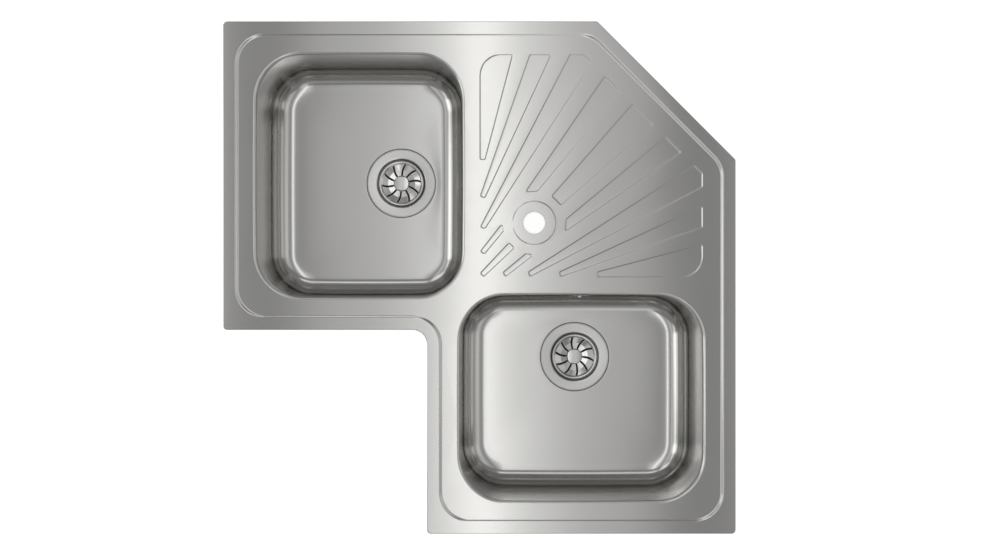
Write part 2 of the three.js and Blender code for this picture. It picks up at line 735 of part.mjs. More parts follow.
// Flange, well, ledge for the basket and perforated floor in one pressing
function wasteCup() {
  const t = CUP_SHEET
  const ledge = -WELL_LEDGE_DEPTH
  const profile = [
    [FLANGE_RADIUS - t, SEAT + 0.1],
    [FLANGE_RADIUS, SEAT + 0.1],
    [FLANGE_RADIUS, FLANGE_TOP - 0.4],
    [FLANGE_RADIUS - 0.6, FLANGE_TOP],
    [WELL_RADIUS + 3, FLANGE_TOP - FLANGE_FALL],
    [WELL_RADIUS + 0.8, FLANGE_TOP - 1.5],
    [WELL_RADIUS, FLANGE_TOP - 3.2],
    [WELL_RADIUS, ledge],
    [WELL_NECK_RADIUS, ledge - 0.4],
    [WELL_NECK_RADIUS, -WELL_DEPTH + 2],
    [WELL_NECK_RADIUS - 2, -WELL_DEPTH],
    [WASTE_SCREW_RADIUS + SEAT, -WELL_DEPTH],
    [WASTE_SCREW_RADIUS + SEAT, -WELL_DEPTH - t],
    [WELL_NECK_RADIUS - 1.6, -WELL_DEPTH - t],
    [WELL_NECK_RADIUS + t, -WELL_DEPTH + 1.6],
    [WELL_NECK_RADIUS + t, ledge - t],
    [WELL_RADIUS + t, ledge - t],
    [WELL_RADIUS + t, FLANGE_TOP - 3.5],
    [WELL_RADIUS + 3.2, FLANGE_UNDER - FLANGE_FALL],
    [FLANGE_RADIUS - t, FLANGE_UNDER],
  ]
  const holes = Array.from({ length: CUP_HOLES }, (_, i) => {
    const angle = (2 * Math.PI * i) / CUP_HOLES
    const reach = WELL_NECK_RADIUS * 0.58
    const [x, y] = [reach * Math.cos(angle), reach * Math.sin(angle)]
    return cylinder(CUP_HOLE_RADIUS, -WELL_DEPTH - 3, -WELL_DEPTH + 3, 6, x, y)
  })
  return cut(turned(profile, ROUND), ...holes)
}

// Waste body under the bowl: a tapering bowl with a spider for the screw and the outlet.
// The one under the bowl with the overflow has a side spigot for its hose.
function wasteBody(hasSpigot) {
  const neck = clearing(WELL_RADIUS + CUP_SHEET, ROUND_HIDDEN)
  const rim = RECESS_RADIUS - 4
  const bore = OUTLET_RADIUS - OUTLET_WALL
  const deep = BODY_TOP - BODY_DEPTH * 0.62
  const inside = [
    [neck, BODY_TOP],
    [neck - 0.5, BODY_TOP - 10],
    [neck - 2.5, deep],
    [bore + BODY_SHOULDER, deep - 9],
    [bore, OUTLET_TOP + 1],
    [bore, OUTLET_END],
  ]
  const outside = [
    [OUTLET_RADIUS, OUTLET_END],
    [OUTLET_RADIUS, OUTLET_TOP],
    [bore + BODY_SHOULDER + BODY_WALL * 0.6, deep - 9 - BODY_WALL],
    [neck - 2.5 + BODY_WALL, deep - 1],
    [neck - 0.5 + BODY_WALL, BODY_TOP - 10],
    [rim - 3, BODY_TOP - 6],
    [rim, BODY_TOP - 4],
    [rim, BODY_TOP],
  ]
  const filled = turned([[0, OUTLET_END], ...outside, [0, BODY_TOP]], ROUND_HIDDEN)
  const spiderTop = SCREW_END + 12
  const spiderUnder = SCREW_END + 2
  const ribReach = neck - 1
  const hub = cylinder(WASTE_SCREW_RADIUS + 4, spiderUnder - 1, spiderTop + 1, ROUND_SMALL)
  const ribs = joined(
    box(-ribReach, ribReach, -1.2, 1.2, spiderUnder, spiderTop),
    box(-1.2, 1.2, -ribReach, ribReach, spiderUnder, spiderTop),
  )
  const shell = joined(turned([...inside, ...outside], ROUND_HIDDEN), hub, ribs.intersect(filled))
  const thread = cylinder(WASTE_SCREW_RADIUS + SEAT, SCREW_END - 5, spiderTop + 5, ROUND_SMALL)
  if (!hasSpigot) return cut(shell, thread)
  const z = BODY_TOP - SPIGOT_DROP
  const outer = HOSE_RADIUS - HOSE_WALL - SEAT
  const tube = along(outer, neck, SPIGOT_FACE - WASTE_OFFSET, z)
  const bored = along(outer - SPIGOT_WALL, neck - 4, SPIGOT_FACE - WASTE_OFFSET + 1, z)
  return cut(joined(shell, tube), thread, bored)
}

// A round bar along +X from x0 to x1 at a height
function along(radius, x0, x1, z) {
  const geometry = geometryOf(cylinder(radius, x0, x1, ROUND_SMALL))
  geometry.rotateY(Math.PI / 2)
  geometry.translate(0, 0, z)
  return solid(geometry)
}

function wasteScrew() {
  const head = SCREW_HEAD_UNDER + SCREW_HEAD_HEIGHT
  return turned(
    [
      [0, SCREW_END],
      [WASTE_SCREW_RADIUS - 0.8, SCREW_END],
      [WASTE_SCREW_RADIUS, SCREW_END + 1],
      [WASTE_SCREW_RADIUS, SCREW_HEAD_UNDER],
      [6.5, SCREW_HEAD_UNDER],
      [6, head - 1],
      [4, head],
      [0, head],
    ],
    ROUND_SMALL,
  )
}

function addWaste(arm, wasteFrame) {
  const add = (name, shape, material) =>
    addPiece(`${name}_${arm.side}`, shape, MATERIALS[material], wasteFrame)
  const top = ring(WASTE_HOLE_RADIUS + 1, FLANGE_RADIUS - 3, SEAT, SEAT + TOP_SEAL, ROUND_HIDDEN)
  const under = ring(
    WASTE_HOLE_RADIUS + 1,
    RECESS_RADIUS - 5,
    GASKET_TOP - UNDER_GASKET,
    GASKET_TOP,
    ROUND_HIDDEN,
  )
  add('waste_cup', wasteCup(), 'polished')
  add('waste_seal', top, 'rubber')
  add('waste_gasket', under, 'rubber')
  add('waste_body', wasteBody(arm.side === 'right'), 'plastic')
  add('waste_screw', wasteScrew(), 'zinc')
}

// ---------------------------------------------------------------------------------------
// Basket: slotted dish, button, stem and rubber stopper
// ---------------------------------------------------------------------------------------

const DISH_RADIUS = WELL_RADIUS - BASKET_CLEARANCE
const DISH_UNDER = -WELL_LEDGE_DEPTH + SEAT
const DISH_TOP = DISH_UNDER + 2
const HUB_TOP = DISH_TOP - DISH_DEPTH
const STEM_HOLE_RADIUS = STEM_RADIUS + SEAT
const STOPPER_TOP = HUB_TOP - CUP_SHEET - SEAT - STOPPER_LIFT - STEM_FOOT_HEIGHT - SEAT

// The dish's upper side from its rim inwards: the lip, a steep cone, a shallow cone and the
// flat under the button, as [radius, height]
const DISH_FLAT = BUTTON_SIDE / 2 + 1.5
const DISH_UPPER_SIDE = [
  [DISH_RADIUS - DISH_LIP, DISH_TOP - 0.5],
  [DISH_STEEP_RADIUS, HUB_TOP + DISH_STEEP_RISE],
  [DISH_BREAK_RADIUS, HUB_TOP + DISH_BREAK_RISE],
  [DISH_FLAT, HUB_TOP],
]

// A slot that swirls round the dish as it runs outwards
function basketSlot(startAngle) {
  const steps = 3
  const sideOf = (side) =>
    Array.from({ length: steps + 1 }, (_, k) => {
      const share = k / steps
      const radius = SLOT_INNER_RADIUS + (SLOT_OUTER_RADIUS - SLOT_INNER_RADIUS) * share
      const swirl = THREE.MathUtils.degToRad(SLOT_SWIRL) * share ** 2
      const angle = startAngle - swirl + (side * SLOT_WIDTH) / 2 / radius
      return [radius * Math.cos(angle), radius * Math.sin(angle)]
    })
  return prism([...sideOf(-1), ...sideOf(1).reverse()], HUB_TOP - 4, DISH_TOP + 2)
}

function basketDish() {
  const under = DISH_UPPER_SIDE.slice(1).map(([radius, z]) => [radius, z - CUP_SHEET])
  const profile = [
    [STEM_HOLE_RADIUS, HUB_TOP - CUP_SHEET],
    ...under.reverse(),
    [DISH_RADIUS - DISH_LIP, DISH_UNDER],
    [DISH_RADIUS - 0.4, DISH_UNDER],
    [DISH_RADIUS, DISH_UNDER + 0.4],
    [DISH_RADIUS, DISH_TOP - 0.6],
    [DISH_RADIUS - 0.6, DISH_TOP],
    [DISH_RADIUS - DISH_LIP / 2, DISH_TOP],
    ...DISH_UPPER_SIDE,
    [STEM_HOLE_RADIUS, HUB_TOP],
  ]
  const slots = Array.from({ length: BASKET_SLOTS }, (_, i) =>
    basketSlot((2 * Math.PI * (i + 0.4)) / BASKET_SLOTS),
  )
  return cut(turned(profile, ROUND), ...slots)
}

function basketButton() {
  const half = BUTTON_SIDE / 2
  const corners = [[half, half], [-half, half], [-half, -half], [half, -half]]
  const loop = (distance, z) =>
    atHeight(rounded(inset(corners, distance), () => half * 0.72 - distance, 3), z)
  const under = HUB_TOP + SEAT
  const top = under + BUTTON_HEIGHT
  return loft([loop(1, under), loop(0, under + 0.8), loop(0, top - 0.8), loop(0.9, top)])
}

function basketStem() {
  const foot = STOPPER_TOP + SEAT
  const top = HUB_TOP
  return turned(
    [
      [0, foot],
      [STEM_FOOT_RADIUS, foot],
      [STEM_FOOT_RADIUS, foot + STEM_FOOT_HEIGHT - 0.4],
      [STEM_RADIUS, foot + STEM_FOOT_HEIGHT],
      [STEM_RADIUS, top],
      [0, top],
    ],
    ROUND_HIDDEN,
  )
}

// A rubber cup whose lip closes on the well's floor, clear of the screw's head
function basketStopper() {
  const lip = -WELL_DEPTH + SEAT
  const clear = SCREW_HEAD_UNDER + SCREW_HEAD_HEIGHT + 2 * SEAT
  return turned(
    [
      [0, clear],
      [STOPPER_RADIUS - 5, clear],
      [STOPPER_RADIUS - 2, lip],
      [STOPPER_RADIUS, lip + 0.5],
      [STOPPER_RADIUS, lip + 2],
      [STOPPER_RADIUS - 3, clear + 1],
      [STEM_RADIUS + 6, STOPPER_TOP],
      [0, STOPPER_TOP],
    ],
    ROUND_HIDDEN,
  )
}

function addBasket(arm, wasteFrame) {
  const add = (name, shape, material) =>
    addPiece(`${name}_${arm.side}`, shape, MATERIALS[material], wasteFrame)
  add('basket_dish', basketDish(), 'polished')
  add('basket_button', basketButton(), 'polished')
  add('basket_stem', basketStem(), 'zinc')
  add('basket_stopper', basketStopper(), 'rubber')
}

// ---------------------------------------------------------------------------------------
// Overflow. Its pieces are turned about Z and then laid on their side: +Z points into the
// bowl, and the wall's inner face is at z = 0.
// ---------------------------------------------------------------------------------------

// The wall leans, so flat pieces stand off it by their share of the lean
const LEAN = (WALL_RUN * HOUSING_RADIUS) / (BOWL_DEPTH - FLOOR_FILLET)
const ROSE_BACK = SEAT + LEAN
const OVERFLOW_GASKET_FRONT = -SHEET - SEAT - LEAN
const HOUSING_FRONT = OVERFLOW_GASKET_FRONT - OVERFLOW_GASKET - SEAT
const HOUSING_BACK = HOUSING_FRONT - HOUSING_DEPTH
const SPIGOT_CENTRE = (HOUSING_FRONT + HOUSING_BACK) / 2 - 1
const SPIGOT_RADIUS = HOSE_RADIUS - HOSE_WALL - SEAT
const SPIGOT_LENGTH = SPIGOT_GRIP + 6
const HOSE_X = wallAt(OVERFLOW_Z) - SPIGOT_CENTRE
const SPIGOT_FACE = HOSE_X - HOSE_BEND
const OVERFLOW_SCREW_TOP = ROSE_BACK + ROSE_SHEET + SEAT

function overflowRose() {
  const front = ROSE_BACK + ROSE_SHEET
  const disc = turned(
    [
      [OVERFLOW_SCREW_RADIUS + SEAT, ROSE_BACK],
      [ROSE_RADIUS, ROSE_BACK],
      [ROSE_RADIUS, front - 0.6],
      [ROSE_RADIUS - 1.2, front],
      [OVERFLOW_SCREW_RADIUS + SEAT, front],
    ],
    ROUND_HIDDEN,
  )
  const holes = Array.from({ length: ROSE_HOLES }, (_, i) => {
    const angle = (2 * Math.PI * (i + 0.5)) / ROSE_HOLES
    const reach = OVERFLOW_HOLE_RADIUS * 0.66
    const [x, y] = [reach * Math.cos(angle), reach * Math.sin(angle)]
    return cylinder(ROSE_HOLE_RADIUS, ROSE_BACK - 1, front + 1, 6, x, y)
  })
  return cut(disc, ...holes)
}

// A shallow plastic cup behind the wall, with a post for the screw and a spigot pointing down
function overflowHousing() {
  const floor = HOUSING_BACK + HOUSING_WALL
  const postFront = floor + 8
  const postHole = OVERFLOW_SCREW_RADIUS + SEAT
  const cup = turned(
    [
      [0, HOUSING_BACK],
      [HOUSING_RADIUS - 3, HOUSING_BACK],
      [HOUSING_RADIUS - 3, HOUSING_FRONT - 2.5],
      [HOUSING_RADIUS, HOUSING_FRONT - 2.5],
      [HOUSING_RADIUS, HOUSING_FRONT],
      [OVERFLOW_HOLE_RADIUS, HOUSING_FRONT],
      [OVERFLOW_HOLE_RADIUS, floor],
      [postHole + 2, floor],
      [postHole + 2, postFront],
      [postHole, postFront],
      [postHole, floor - 1],
      [0, floor - 1],
    ],
    ROUND_HIDDEN,
  )
  const reach = HOUSING_RADIUS - 3 + SPIGOT_LENGTH
  const from = OVERFLOW_HOLE_RADIUS + 1
  const tube = along(SPIGOT_RADIUS, -reach, -from, SPIGOT_CENTRE)
  const bore = along(SPIGOT_RADIUS - SPIGOT_WALL, -reach - 1, -from + 4, SPIGOT_CENTRE)
  return cut(joined(cup, tube), bore)
}

function overflowScrew() {
  const end = HOUSING_BACK + HOUSING_WALL + 1
  return turned(
    [
      [0, end],
      [OVERFLOW_SCREW_RADIUS, end],
      [OVERFLOW_SCREW_RADIUS, OVERFLOW_SCREW_TOP],
      [OVERFLOW_HEAD_RADIUS, OVERFLOW_SCREW_TOP],
      [OVERFLOW_HEAD_RADIUS, OVERFLOW_SCREW_TOP + OVERFLOW_HEAD_HEIGHT - 0.8],
      [OVERFLOW_HEAD_RADIUS - 1, OVERFLOW_SCREW_TOP + OVERFLOW_HEAD_HEIGHT],
      [0, OVERFLOW_SCREW_TOP + OVERFLOW_HEAD_HEIGHT],
    ],
    ROUND_SMALL,
  )
}

// The hose runs down behind the bowl and turns in under it to the waste body's side spigot
function overflowHose() {
  const top = OVERFLOW_Z - (HOUSING_RADIUS - 3) - SPIGOT_LENGTH + SPIGOT_GRIP
  const spigotZ = RECESS_Z + BODY_TOP - SPIGOT_DROP
  const route = new THREE.CurvePath()
  const at = (x, z) => new THREE.Vector3(x, 0, z)
  route.add(new THREE.LineCurve3(at(HOSE_X, top), at(HOSE_X, spigotZ + HOSE_BEND)))
  const share = 0.5523
  const bendStart = at(HOSE_X, spigotZ + HOSE_BEND)
  const bendEnd = at(HOSE_X - HOSE_BEND, spigotZ)
  route.add(
    new THREE.CubicBezierCurve3(
      bendStart,
      at(HOSE_X, spigotZ + HOSE_BEND * (1 - share)),
      at(HOSE_X - HOSE_BEND * (1 - share), spigotZ),
      bendEnd,
    ),
  )
  route.add(new THREE.LineCurve3(bendEnd, at(SPIGOT_FACE - SPIGOT_GRIP, spigotZ)))
  const section = new THREE.Shape().absarc(0, 0, HOSE_RADIUS, 0, 2 * Math.PI)
  const bore = new THREE.Path().absarc(0, 0, HOSE_RADIUS - HOSE_WALL, 0, 2 * Math.PI)
  section.holes.push(bore)
  const geometry = new THREE.ExtrudeGeometry(section, {
    extrudePath: route,
    steps: 14,
    curveSegments: ROUND_SMALL / 2,
    bevelEnabled: false,
  })
  return solid(geometry)
}

function addOverflow(frame) {
  const x = wallAt(OVERFLOW_Z)
  const gasket = ring(
    OVERFLOW_HOLE_RADIUS + 0.5,
    HOUSING_RADIUS,
    OVERFLOW_GASKET_FRONT - OVERFLOW_GASKET,
    OVERFLOW_GASKET_FRONT,
    ROUND_HIDDEN,
  )
  const add = (name, shape, material) =>
    addPiece(name, moved(sideways(shape), x, 0, OVERFLOW_Z), MATERIALS[material], frame)
  add('overflow_rose', overflowRose(), 'polished')
  add('overflow_gasket', gasket, 'rubber')
  add('overflow_housing', overflowHousing(), 'plastic')
  add('overflow_screw', overflowScrew(), 'polished')
  addPiece('overflow_hose', overflowHose(), MATERIALS.hose, frame)
}

// ---------------------------------------------------------------------------------------
// Seal, rails and clips under the rim
// ---------------------------------------------------------------------------------------

// A foam strip that runs all round under the border
function addSeal() {
  const start = SHEET + SEAL_MARGIN
  const top = RIM_UNDER - SEAT
  const strip = cut(
    loft([rimLoop(start, 0, 3), rimLoop(start, top, 3)]),
    loft([rimLoop(start + SEAL_WIDTH, -1, 3), rimLoop(start + SEAL_WIDTH, top + 1, 3)]),
  )
  addPiece('rim_seal', strip, MATERIALS.foam)
}

const RAIL_TOP = DECK_UNDER - SEAT
const RAIL_UNDER = RAIL_TOP - RAIL_HEIGHT

// A channel, open downwards along a slot, that is spot-welded under the deck
function railChannel(length) {
  const outside = box(0, length, -RAIL_WIDTH / 2, RAIL_WIDTH / 2, RAIL_UNDER, RAIL_TOP)
  const half = RAIL_WIDTH / 2 - RAIL_SHEET
  const inside = box(-1, length + 1, -half, half, RAIL_UNDER + RAIL_SHEET, RAIL_TOP - RAIL_SHEET)
  const slot = box(-1, length + 1, -RAIL_SLOT / 2, RAIL_SLOT / 2, RAIL_UNDER - 1, RAIL_TOP - 2)
  return cut(outside, inside, slot)
}

// A bolt whose square head slides in the rail
function clipBolt() {
  const headUnder = RAIL_UNDER + RAIL_SHEET + SEAT
  const half = RAIL_SLOT / 2 + 1.5
  const end = RAIL_UNDER - BOLT_LENGTH
  const shank = turned(
    [
      [0, end],
      [BOLT_RADIUS - 0.6, end],
      [BOLT_RADIUS, end + 1],
      [BOLT_RADIUS, headUnder + 0.5],
      [0, headUnder + 0.5],
    ],
    ROUND_SMALL,
  )
  return joined(shank, box(-half, half, -half, half, headUnder, headUnder + BOLT_HEAD))
}

// A bent claw with a welded nut. At rest it lies along the rail; swung out, it reaches
// under the worktop.
function clipClaw() {
  const top = RAIL_UNDER - CLAW_DROP
  const under = top - CLAW_SHEET
  const tip = top + CLAW_RISE
  const profile = new THREE.Shape([
    new THREE.Vector2(-CLAW_TAIL, under),
    new THREE.Vector2(CLAW_REACH - 1, under),
    new THREE.Vector2(CLAW_REACH, under + 1),
    new THREE.Vector2(CLAW_REACH, tip),
    new THREE.Vector2(CLAW_REACH - CLAW_SHEET, tip),
    new THREE.Vector2(CLAW_REACH - CLAW_SHEET, top + 1),
    new THREE.Vector2(CLAW_REACH - CLAW_SHEET - 1, top),
    new THREE.Vector2(-CLAW_TAIL, top),
  ])
  const strip = new THREE.ExtrudeGeometry(profile, { depth: CLAW_WIDTH, bevelEnabled: false })
  strip.rotateX(Math.PI / 2)
  strip.translate(0, CLAW_WIDTH / 2, 0)
  const notch = box(
    CLAW_REACH - 4,
    CLAW_REACH + 1,
    -CLAW_WIDTH / 6,
    CLAW_WIDTH / 6,
    tip - 3,
    tip + 1,
  )
  const nut = cylinder(NUT_RADIUS, under - NUT_HEIGHT, under + 0.5, 6)
  const hole = cylinder(BOLT_RADIUS + SEAT, under - NUT_HEIGHT - 1, top + 1, ROUND_SMALL)
  return cut(joined(solid(strip), nut), notch, hole)
}

function addRailsAndClips() {
  let clip = 0
  OUTLINE.forEach((corner, i) => {
    const next = OUTLINE[(i + 1) % OUTLINE.length]
    const [dx, dy] = direction(corner, next)
    const length = Math.hypot(next[0] - corner[0], next[1] - corner[1]) - 2 * RAIL_END
    const startX = corner[0] + dx * RAIL_END - dy * RAIL_INSET
    const startY = corner[1] + dy * RAIL_END + dx * RAIL_INSET
    const frame = addFrame(sink, startX, startY, 0, Math.atan2(dy, dx))
    addPiece(`rail_${i + 1}`, railChannel(length), MATERIALS.zinc, frame)
    const clips = Math.max(1, Math.round((length + 2 * RAIL_END) / CLIP_PITCH))
    for (let k = 0; k < clips; k += 1) {
      clip += 1
      const place = addFrame(frame, (length * (k + 0.5)) / clips, 0, 0)
      const stowed = addFrame(place, 0, 0, 0, Math.PI)
      addPiece(`clip_bolt_${clip}`, clipBolt(), MATERIALS.zinc, place)
      addPiece(`clip_claw_${clip}`, clipClaw(), MATERIALS.zinc, stowed)
    }
  })
}

// ---------------------------------------------------------------------------------------
// The assembly
// ---------------------------------------------------------------------------------------

addDeck()
addSeal()
for (const arm of ARMS) {
  const frame = addFrame(sink, arm.x, arm.y, 0, arm.turn)
  const wasteFrame = addFrame(frame, WASTE_OFFSET, 0, RECESS_Z)
  addBowl(arm, frame)
  addPad(arm, frame)
  addWaste(arm, wasteFrame)
  addBasket(arm, wasteFrame)
  if (arm.side === 'right') addOverflow(frame)
}
addRailsAndClips()

export default sink
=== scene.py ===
# %% [markdown]
# # A corner kitchen sink, dressed on its solids
#
# The sink is one sheet of satin stainless steel, pressed into a rim, a fan-shaped drainer and
# two bowls. Blender draws it on the frame of finished solids: every piece made here stands
# exactly where its solid stands, moves with it, and only adds what the eye needs, which is
# rounder curves, fine edges and the finish of each surface.

# %% Load the frame
import math

import bpy
import bmesh
from mathutils import Matrix, Vector
from mathutils.geometry import delaunay_2d_cdt


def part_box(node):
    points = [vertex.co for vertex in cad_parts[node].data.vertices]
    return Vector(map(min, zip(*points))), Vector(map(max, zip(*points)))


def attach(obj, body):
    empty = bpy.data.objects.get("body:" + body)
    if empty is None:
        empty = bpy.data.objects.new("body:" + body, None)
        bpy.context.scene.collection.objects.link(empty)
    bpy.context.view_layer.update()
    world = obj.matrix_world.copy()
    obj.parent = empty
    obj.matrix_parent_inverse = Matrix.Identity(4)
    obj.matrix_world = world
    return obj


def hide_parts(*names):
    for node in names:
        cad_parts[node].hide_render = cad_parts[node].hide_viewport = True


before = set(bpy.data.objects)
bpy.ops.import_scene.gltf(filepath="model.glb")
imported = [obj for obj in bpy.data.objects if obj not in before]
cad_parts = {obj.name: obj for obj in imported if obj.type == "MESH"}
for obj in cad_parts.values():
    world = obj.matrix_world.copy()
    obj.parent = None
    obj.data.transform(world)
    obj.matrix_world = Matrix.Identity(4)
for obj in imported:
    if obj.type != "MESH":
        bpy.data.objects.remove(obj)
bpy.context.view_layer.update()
MM = 0.001

# %% [markdown]
# ## The camera
#
# The photograph looks straight down from about 2.2 m, a hand's breadth beside the middle. A
# plain camera with a 50 mm lens at that place needs no turning, because a new camera looks
# along -Z with +Y up.

# %% Camera
CAMERA_X, CAMERA_Y, CAMERA_HEIGHT = 20.4, 0.9, 2214

camera = bpy.data.objects.new("camera", bpy.data.cameras.new("camera"))
camera.data.lens = 50
camera.data.sensor_width = 36
camera.data.clip_end = 20
camera.location = (CAMERA_X * MM, CAMERA_Y * MM, CAMERA_HEIGHT * MM)
bpy.context.collection.objects.link(camera)
bpy.context.scene.camera = camera
print("camera height, m:", round(camera.location.z, 3))

# %% [markdown]
# ## Sums in a material
#
# A finish is a small sum of noises and masks. Written node by node it is long and hard to
# read, so `Flow` wraps a socket and lets Python's own operators add the Math nodes. `Finish`
# makes a material and adds any other node through one method: its settings first, and then
# the values or links of its sockets.


# %% Sums and nodes
class Flow:
    """A number or colour that flows through a tree of nodes. Sums with it add Math nodes."""

    def __init__(self, nodes, socket):
        self.nodes, self.socket = nodes, socket

    def _sum(self, operation, first, second=0.0):
        return self.nodes.node("ShaderNodeMath", {"operation": operation}, {0: first, 1: second})

    def __add__(self, other):
        return self._sum("ADD", self, other)

    def __sub__(self, other):
        return self._sum("SUBTRACT", self, other)

    def __rsub__(self, other):
        return self._sum("SUBTRACT", other, self)

    def __mul__(self, other):
        return self._sum("MULTIPLY", self, other)

    def __truediv__(self, other):
        return self._sum("DIVIDE", self, other)

    def __rtruediv__(self, other):
        return self._sum("DIVIDE", other, self)

    def sine(self):
        return self._sum("SINE", self)

    __radd__, __rmul__ = __add__, __mul__


class Nodes:
    """A tree of nodes, for a material or for geometry, that grows by one call a node."""

    def __init__(self, tree):
        self.tree = tree

    def node(self, kind, settings=None, sockets=None, output=0):
        node = self.tree.nodes.new(kind)
        for name, value in (settings or {}).items():
            setattr(node, name, value)
        for name, value in (sockets or {}).items():
            self.plug(node.inputs[name], value)
        return Flow(self, node.outputs[output])

    def plug(self, socket, value):
        if isinstance(value, Flow):
            self.tree.links.new(value.socket, socket)
        else:
            socket.default_value = value


class Finish(Nodes):
    """One material, built node by node."""

    def __init__(self, name, **fixed):
        self.material = bpy.data.materials.new(name)
        self.material.use_nodes = True
        super().__init__(self.material.node_tree)
        self.surface = self.tree.nodes["Principled BSDF"]
        self.place = self.node("ShaderNodeTexCoord", output="Object")
        for socket, value in fixed.items():
            self.surface.inputs[socket.replace("_", " ")].default_value = value

    def set(self, **inputs):
        for name, value in inputs.items():
            self.plug(self.surface.inputs[name.replace("_", " ")], value)

    def noise(self, scale, stretch=(1, 1, 1), detail=3):
        """Noise whose grain is `stretch` times longer along each axis."""
        squeeze = tuple(1 / s for s in stretch)
        place = self.node("ShaderNodeMapping", None, {"Vector": self.place, "Scale": squeeze})
        sockets = {"Vector": place, "Scale": scale, "Detail": detail}
        return self.node("ShaderNodeTexNoise", None, sockets)

    def between(self, share, first, second):
        """The mix of two colours, each written out or flowing from another node."""
        first, second = (c if isinstance(c, Flow) else (*c, 1) for c in (first, second))
        sockets = {"Factor": share, "A": first, "B": second}
        return self.node("ShaderNodeMix", {"data_type": "RGBA"}, sockets, output="Result")

    def in_ring(self, middle, radius, half):
        """1 within `half` of a radius about an upright axis, otherwise 0."""
        level = self.node("ShaderNodeMapping", None, {"Vector": self.place, "Scale": (1, 1, 0)})
        ends = {0: level, 1: middle}
        away = self.node("ShaderNodeVectorMath", {"operation": "DISTANCE"}, ends, "Value")
        return self.node("ShaderNodeMath", {"operation": "COMPARE"}, {0: away, 1: radius, 2: half})

    def bump(self, height, strength, distance):
        sockets = {"Height": height, "Strength": strength, "Distance": distance}
        self.set(Normal=self.node("ShaderNodeBump", None, sockets))


print("finish helpers ready")

# %% [markdown]
# ## Satin steel
#
# Sheet for sinks is rolled and then brushed, which leaves hair-fine scratches that all run one
# way. From a step away they only soften the reflections, so the finish is a metal of middle
# roughness with a faint streaky noise in roughness and bump, and a slow drift in its colour.
# The wastes are smoother and lighter. Where a basket sits in its well, and where its button
# meets the dish, their steel has painted shade: a darker colour in rings about each axis.


# %% Steels
STEEL_ROUGHNESS, ROUGHNESS_SPREAD = 0.16, 0.02
DRIFT_SCALE, STREAK_SCALE, STREAK_STRENGTH, STREAK_DEPTH = 7, 900, 0.02, 0.00001
SATIN = ((0.635, 0.63, 0.615), (0.615, 0.61, 0.595))
SMOOTH = ((0.68, 0.675, 0.66), (0.65, 0.645, 0.63))
# Painted shade, laid in rings where a basket meets its well and round the foot of its button.
PAINTED_SHADE = (0.16, 0.155, 0.15)
ALONG_X = (60, 1, 1)
WELL_SHADE_RING, BUTTON_SHADE_RING = (0.0399, 0.0016), (0.0132, 0.0007)


def steel(name, shades, grain=(1, 1, 1), painted_shade_rings=()):
    """Steel with fine streaks and painted shade in rings (middle, radius, half width) in metres."""
    finish = Finish(name, Metallic=1.0)
    streaks = finish.noise(STREAK_SCALE, grain, detail=2)
    colour = finish.between(finish.noise(DRIFT_SCALE, detail=2), *shades)
    # Each ring paints shade into the colour, standing in for the shadow in the gap there.
    for ring in painted_shade_rings:
        colour = finish.between(finish.in_ring(*ring), colour, PAINTED_SHADE)
    finish.set(Base_Color=colour)
    finish.set(Roughness=STEEL_ROUGHNESS + (streaks - 0.5) * ROUGHNESS_SPREAD)
    finish.bump(streaks, STREAK_STRENGTH, STREAK_DEPTH)
    return finish.material


def waste_middle(arm):
    """Where the axis of a waste stands, in metres."""
    low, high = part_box(f"waste_cup_{arm}")
    return ((low.x + high.x) / 2, (low.y + high.y) / 2, 0)


middles = [waste_middle(arm) for arm in ("left", "right")]
rings = [(middle, *ring) for middle in middles for ring in (WELL_SHADE_RING, BUTTON_SHADE_RING)]
BRUSHED = steel("satin steel", SATIN, ALONG_X)
POLISHED = steel("smooth steel", SMOOTH)
WASTE_STEEL = steel("waste steel", SMOOTH, painted_shade_rings=rings)
print("waste middles, m:", [tuple(round(v, 4) for v in middle) for middle in middles])

# %% [markdown]
# ## Hidden finishes
#
# Under the deck the sink is plain: zinc-plated rails and clips, black rubber and moulded
# plastic, a foam strip, a bitumen pad and a grey hose. Each has the one thing that tells it
# apart close up, such as the spangle of zinc or the pores of foam.


# %% Zinc, rubber, plastic, foam, bitumen and hose
GRAIN_STRENGTH = 0.4


def plain(name, light, dark, roughness, scale, depth, metallic=0.0, spread=0.08, cells=False):
    """A finish whose grain, soft or in cells, shows in its colour, roughness and bump."""
    finish = Finish(name, Metallic=metallic)
    grain = finish.noise(scale)
    if cells:
        sockets = {"Vector": finish.place, "Scale": scale}
        grain = finish.node("ShaderNodeTexVoronoi", None, sockets, "Distance")
    finish.set(Base_Color=finish.between(grain, light, dark))
    finish.set(Roughness=roughness + (grain - 0.5) * spread)
    finish.bump(grain, GRAIN_STRENGTH, depth)
    return finish.material


ZINC = plain(
    "zinc plate", (0.62, 0.64, 0.66), (0.5, 0.52, 0.54), 0.4, 160, 0.00003, 1.0, 0.2, cells=True
)
RUBBER = plain("black rubber", (0.05, 0.05, 0.052), (0.028, 0.028, 0.03), 0.75, 420, 0.00006)
PLASTIC = plain("black plastic", (0.045, 0.046, 0.05), (0.03, 0.03, 0.033), 0.48, 900, 0.00003)
FOAM = plain("grey foam", (0.3, 0.3, 0.3), (0.12, 0.12, 0.12), 0.95, 1400, 0.0002, cells=True)
BITUMEN = plain("bitumen", (0.06, 0.055, 0.05), (0.03, 0.028, 0.026), 0.85, 300, 0.0003)
HOSE = plain("grey hose", (0.44, 0.45, 0.46), (0.36, 0.37, 0.38), 0.5, 300, 0.00003)
print("hidden finishes: 6")

# %% [markdown]
# ## Outlines
#
# Every pressed line of the sink is a polygon whose corners are rounded. Two small functions
# are enough for all of them: one moves each side of a polygon inwards by the same distance,
# and one replaces each corner by an arc.


# %% Outline helpers
def heading(start, end):
    across = Vector(end) - Vector(start)
    return across.normalized()


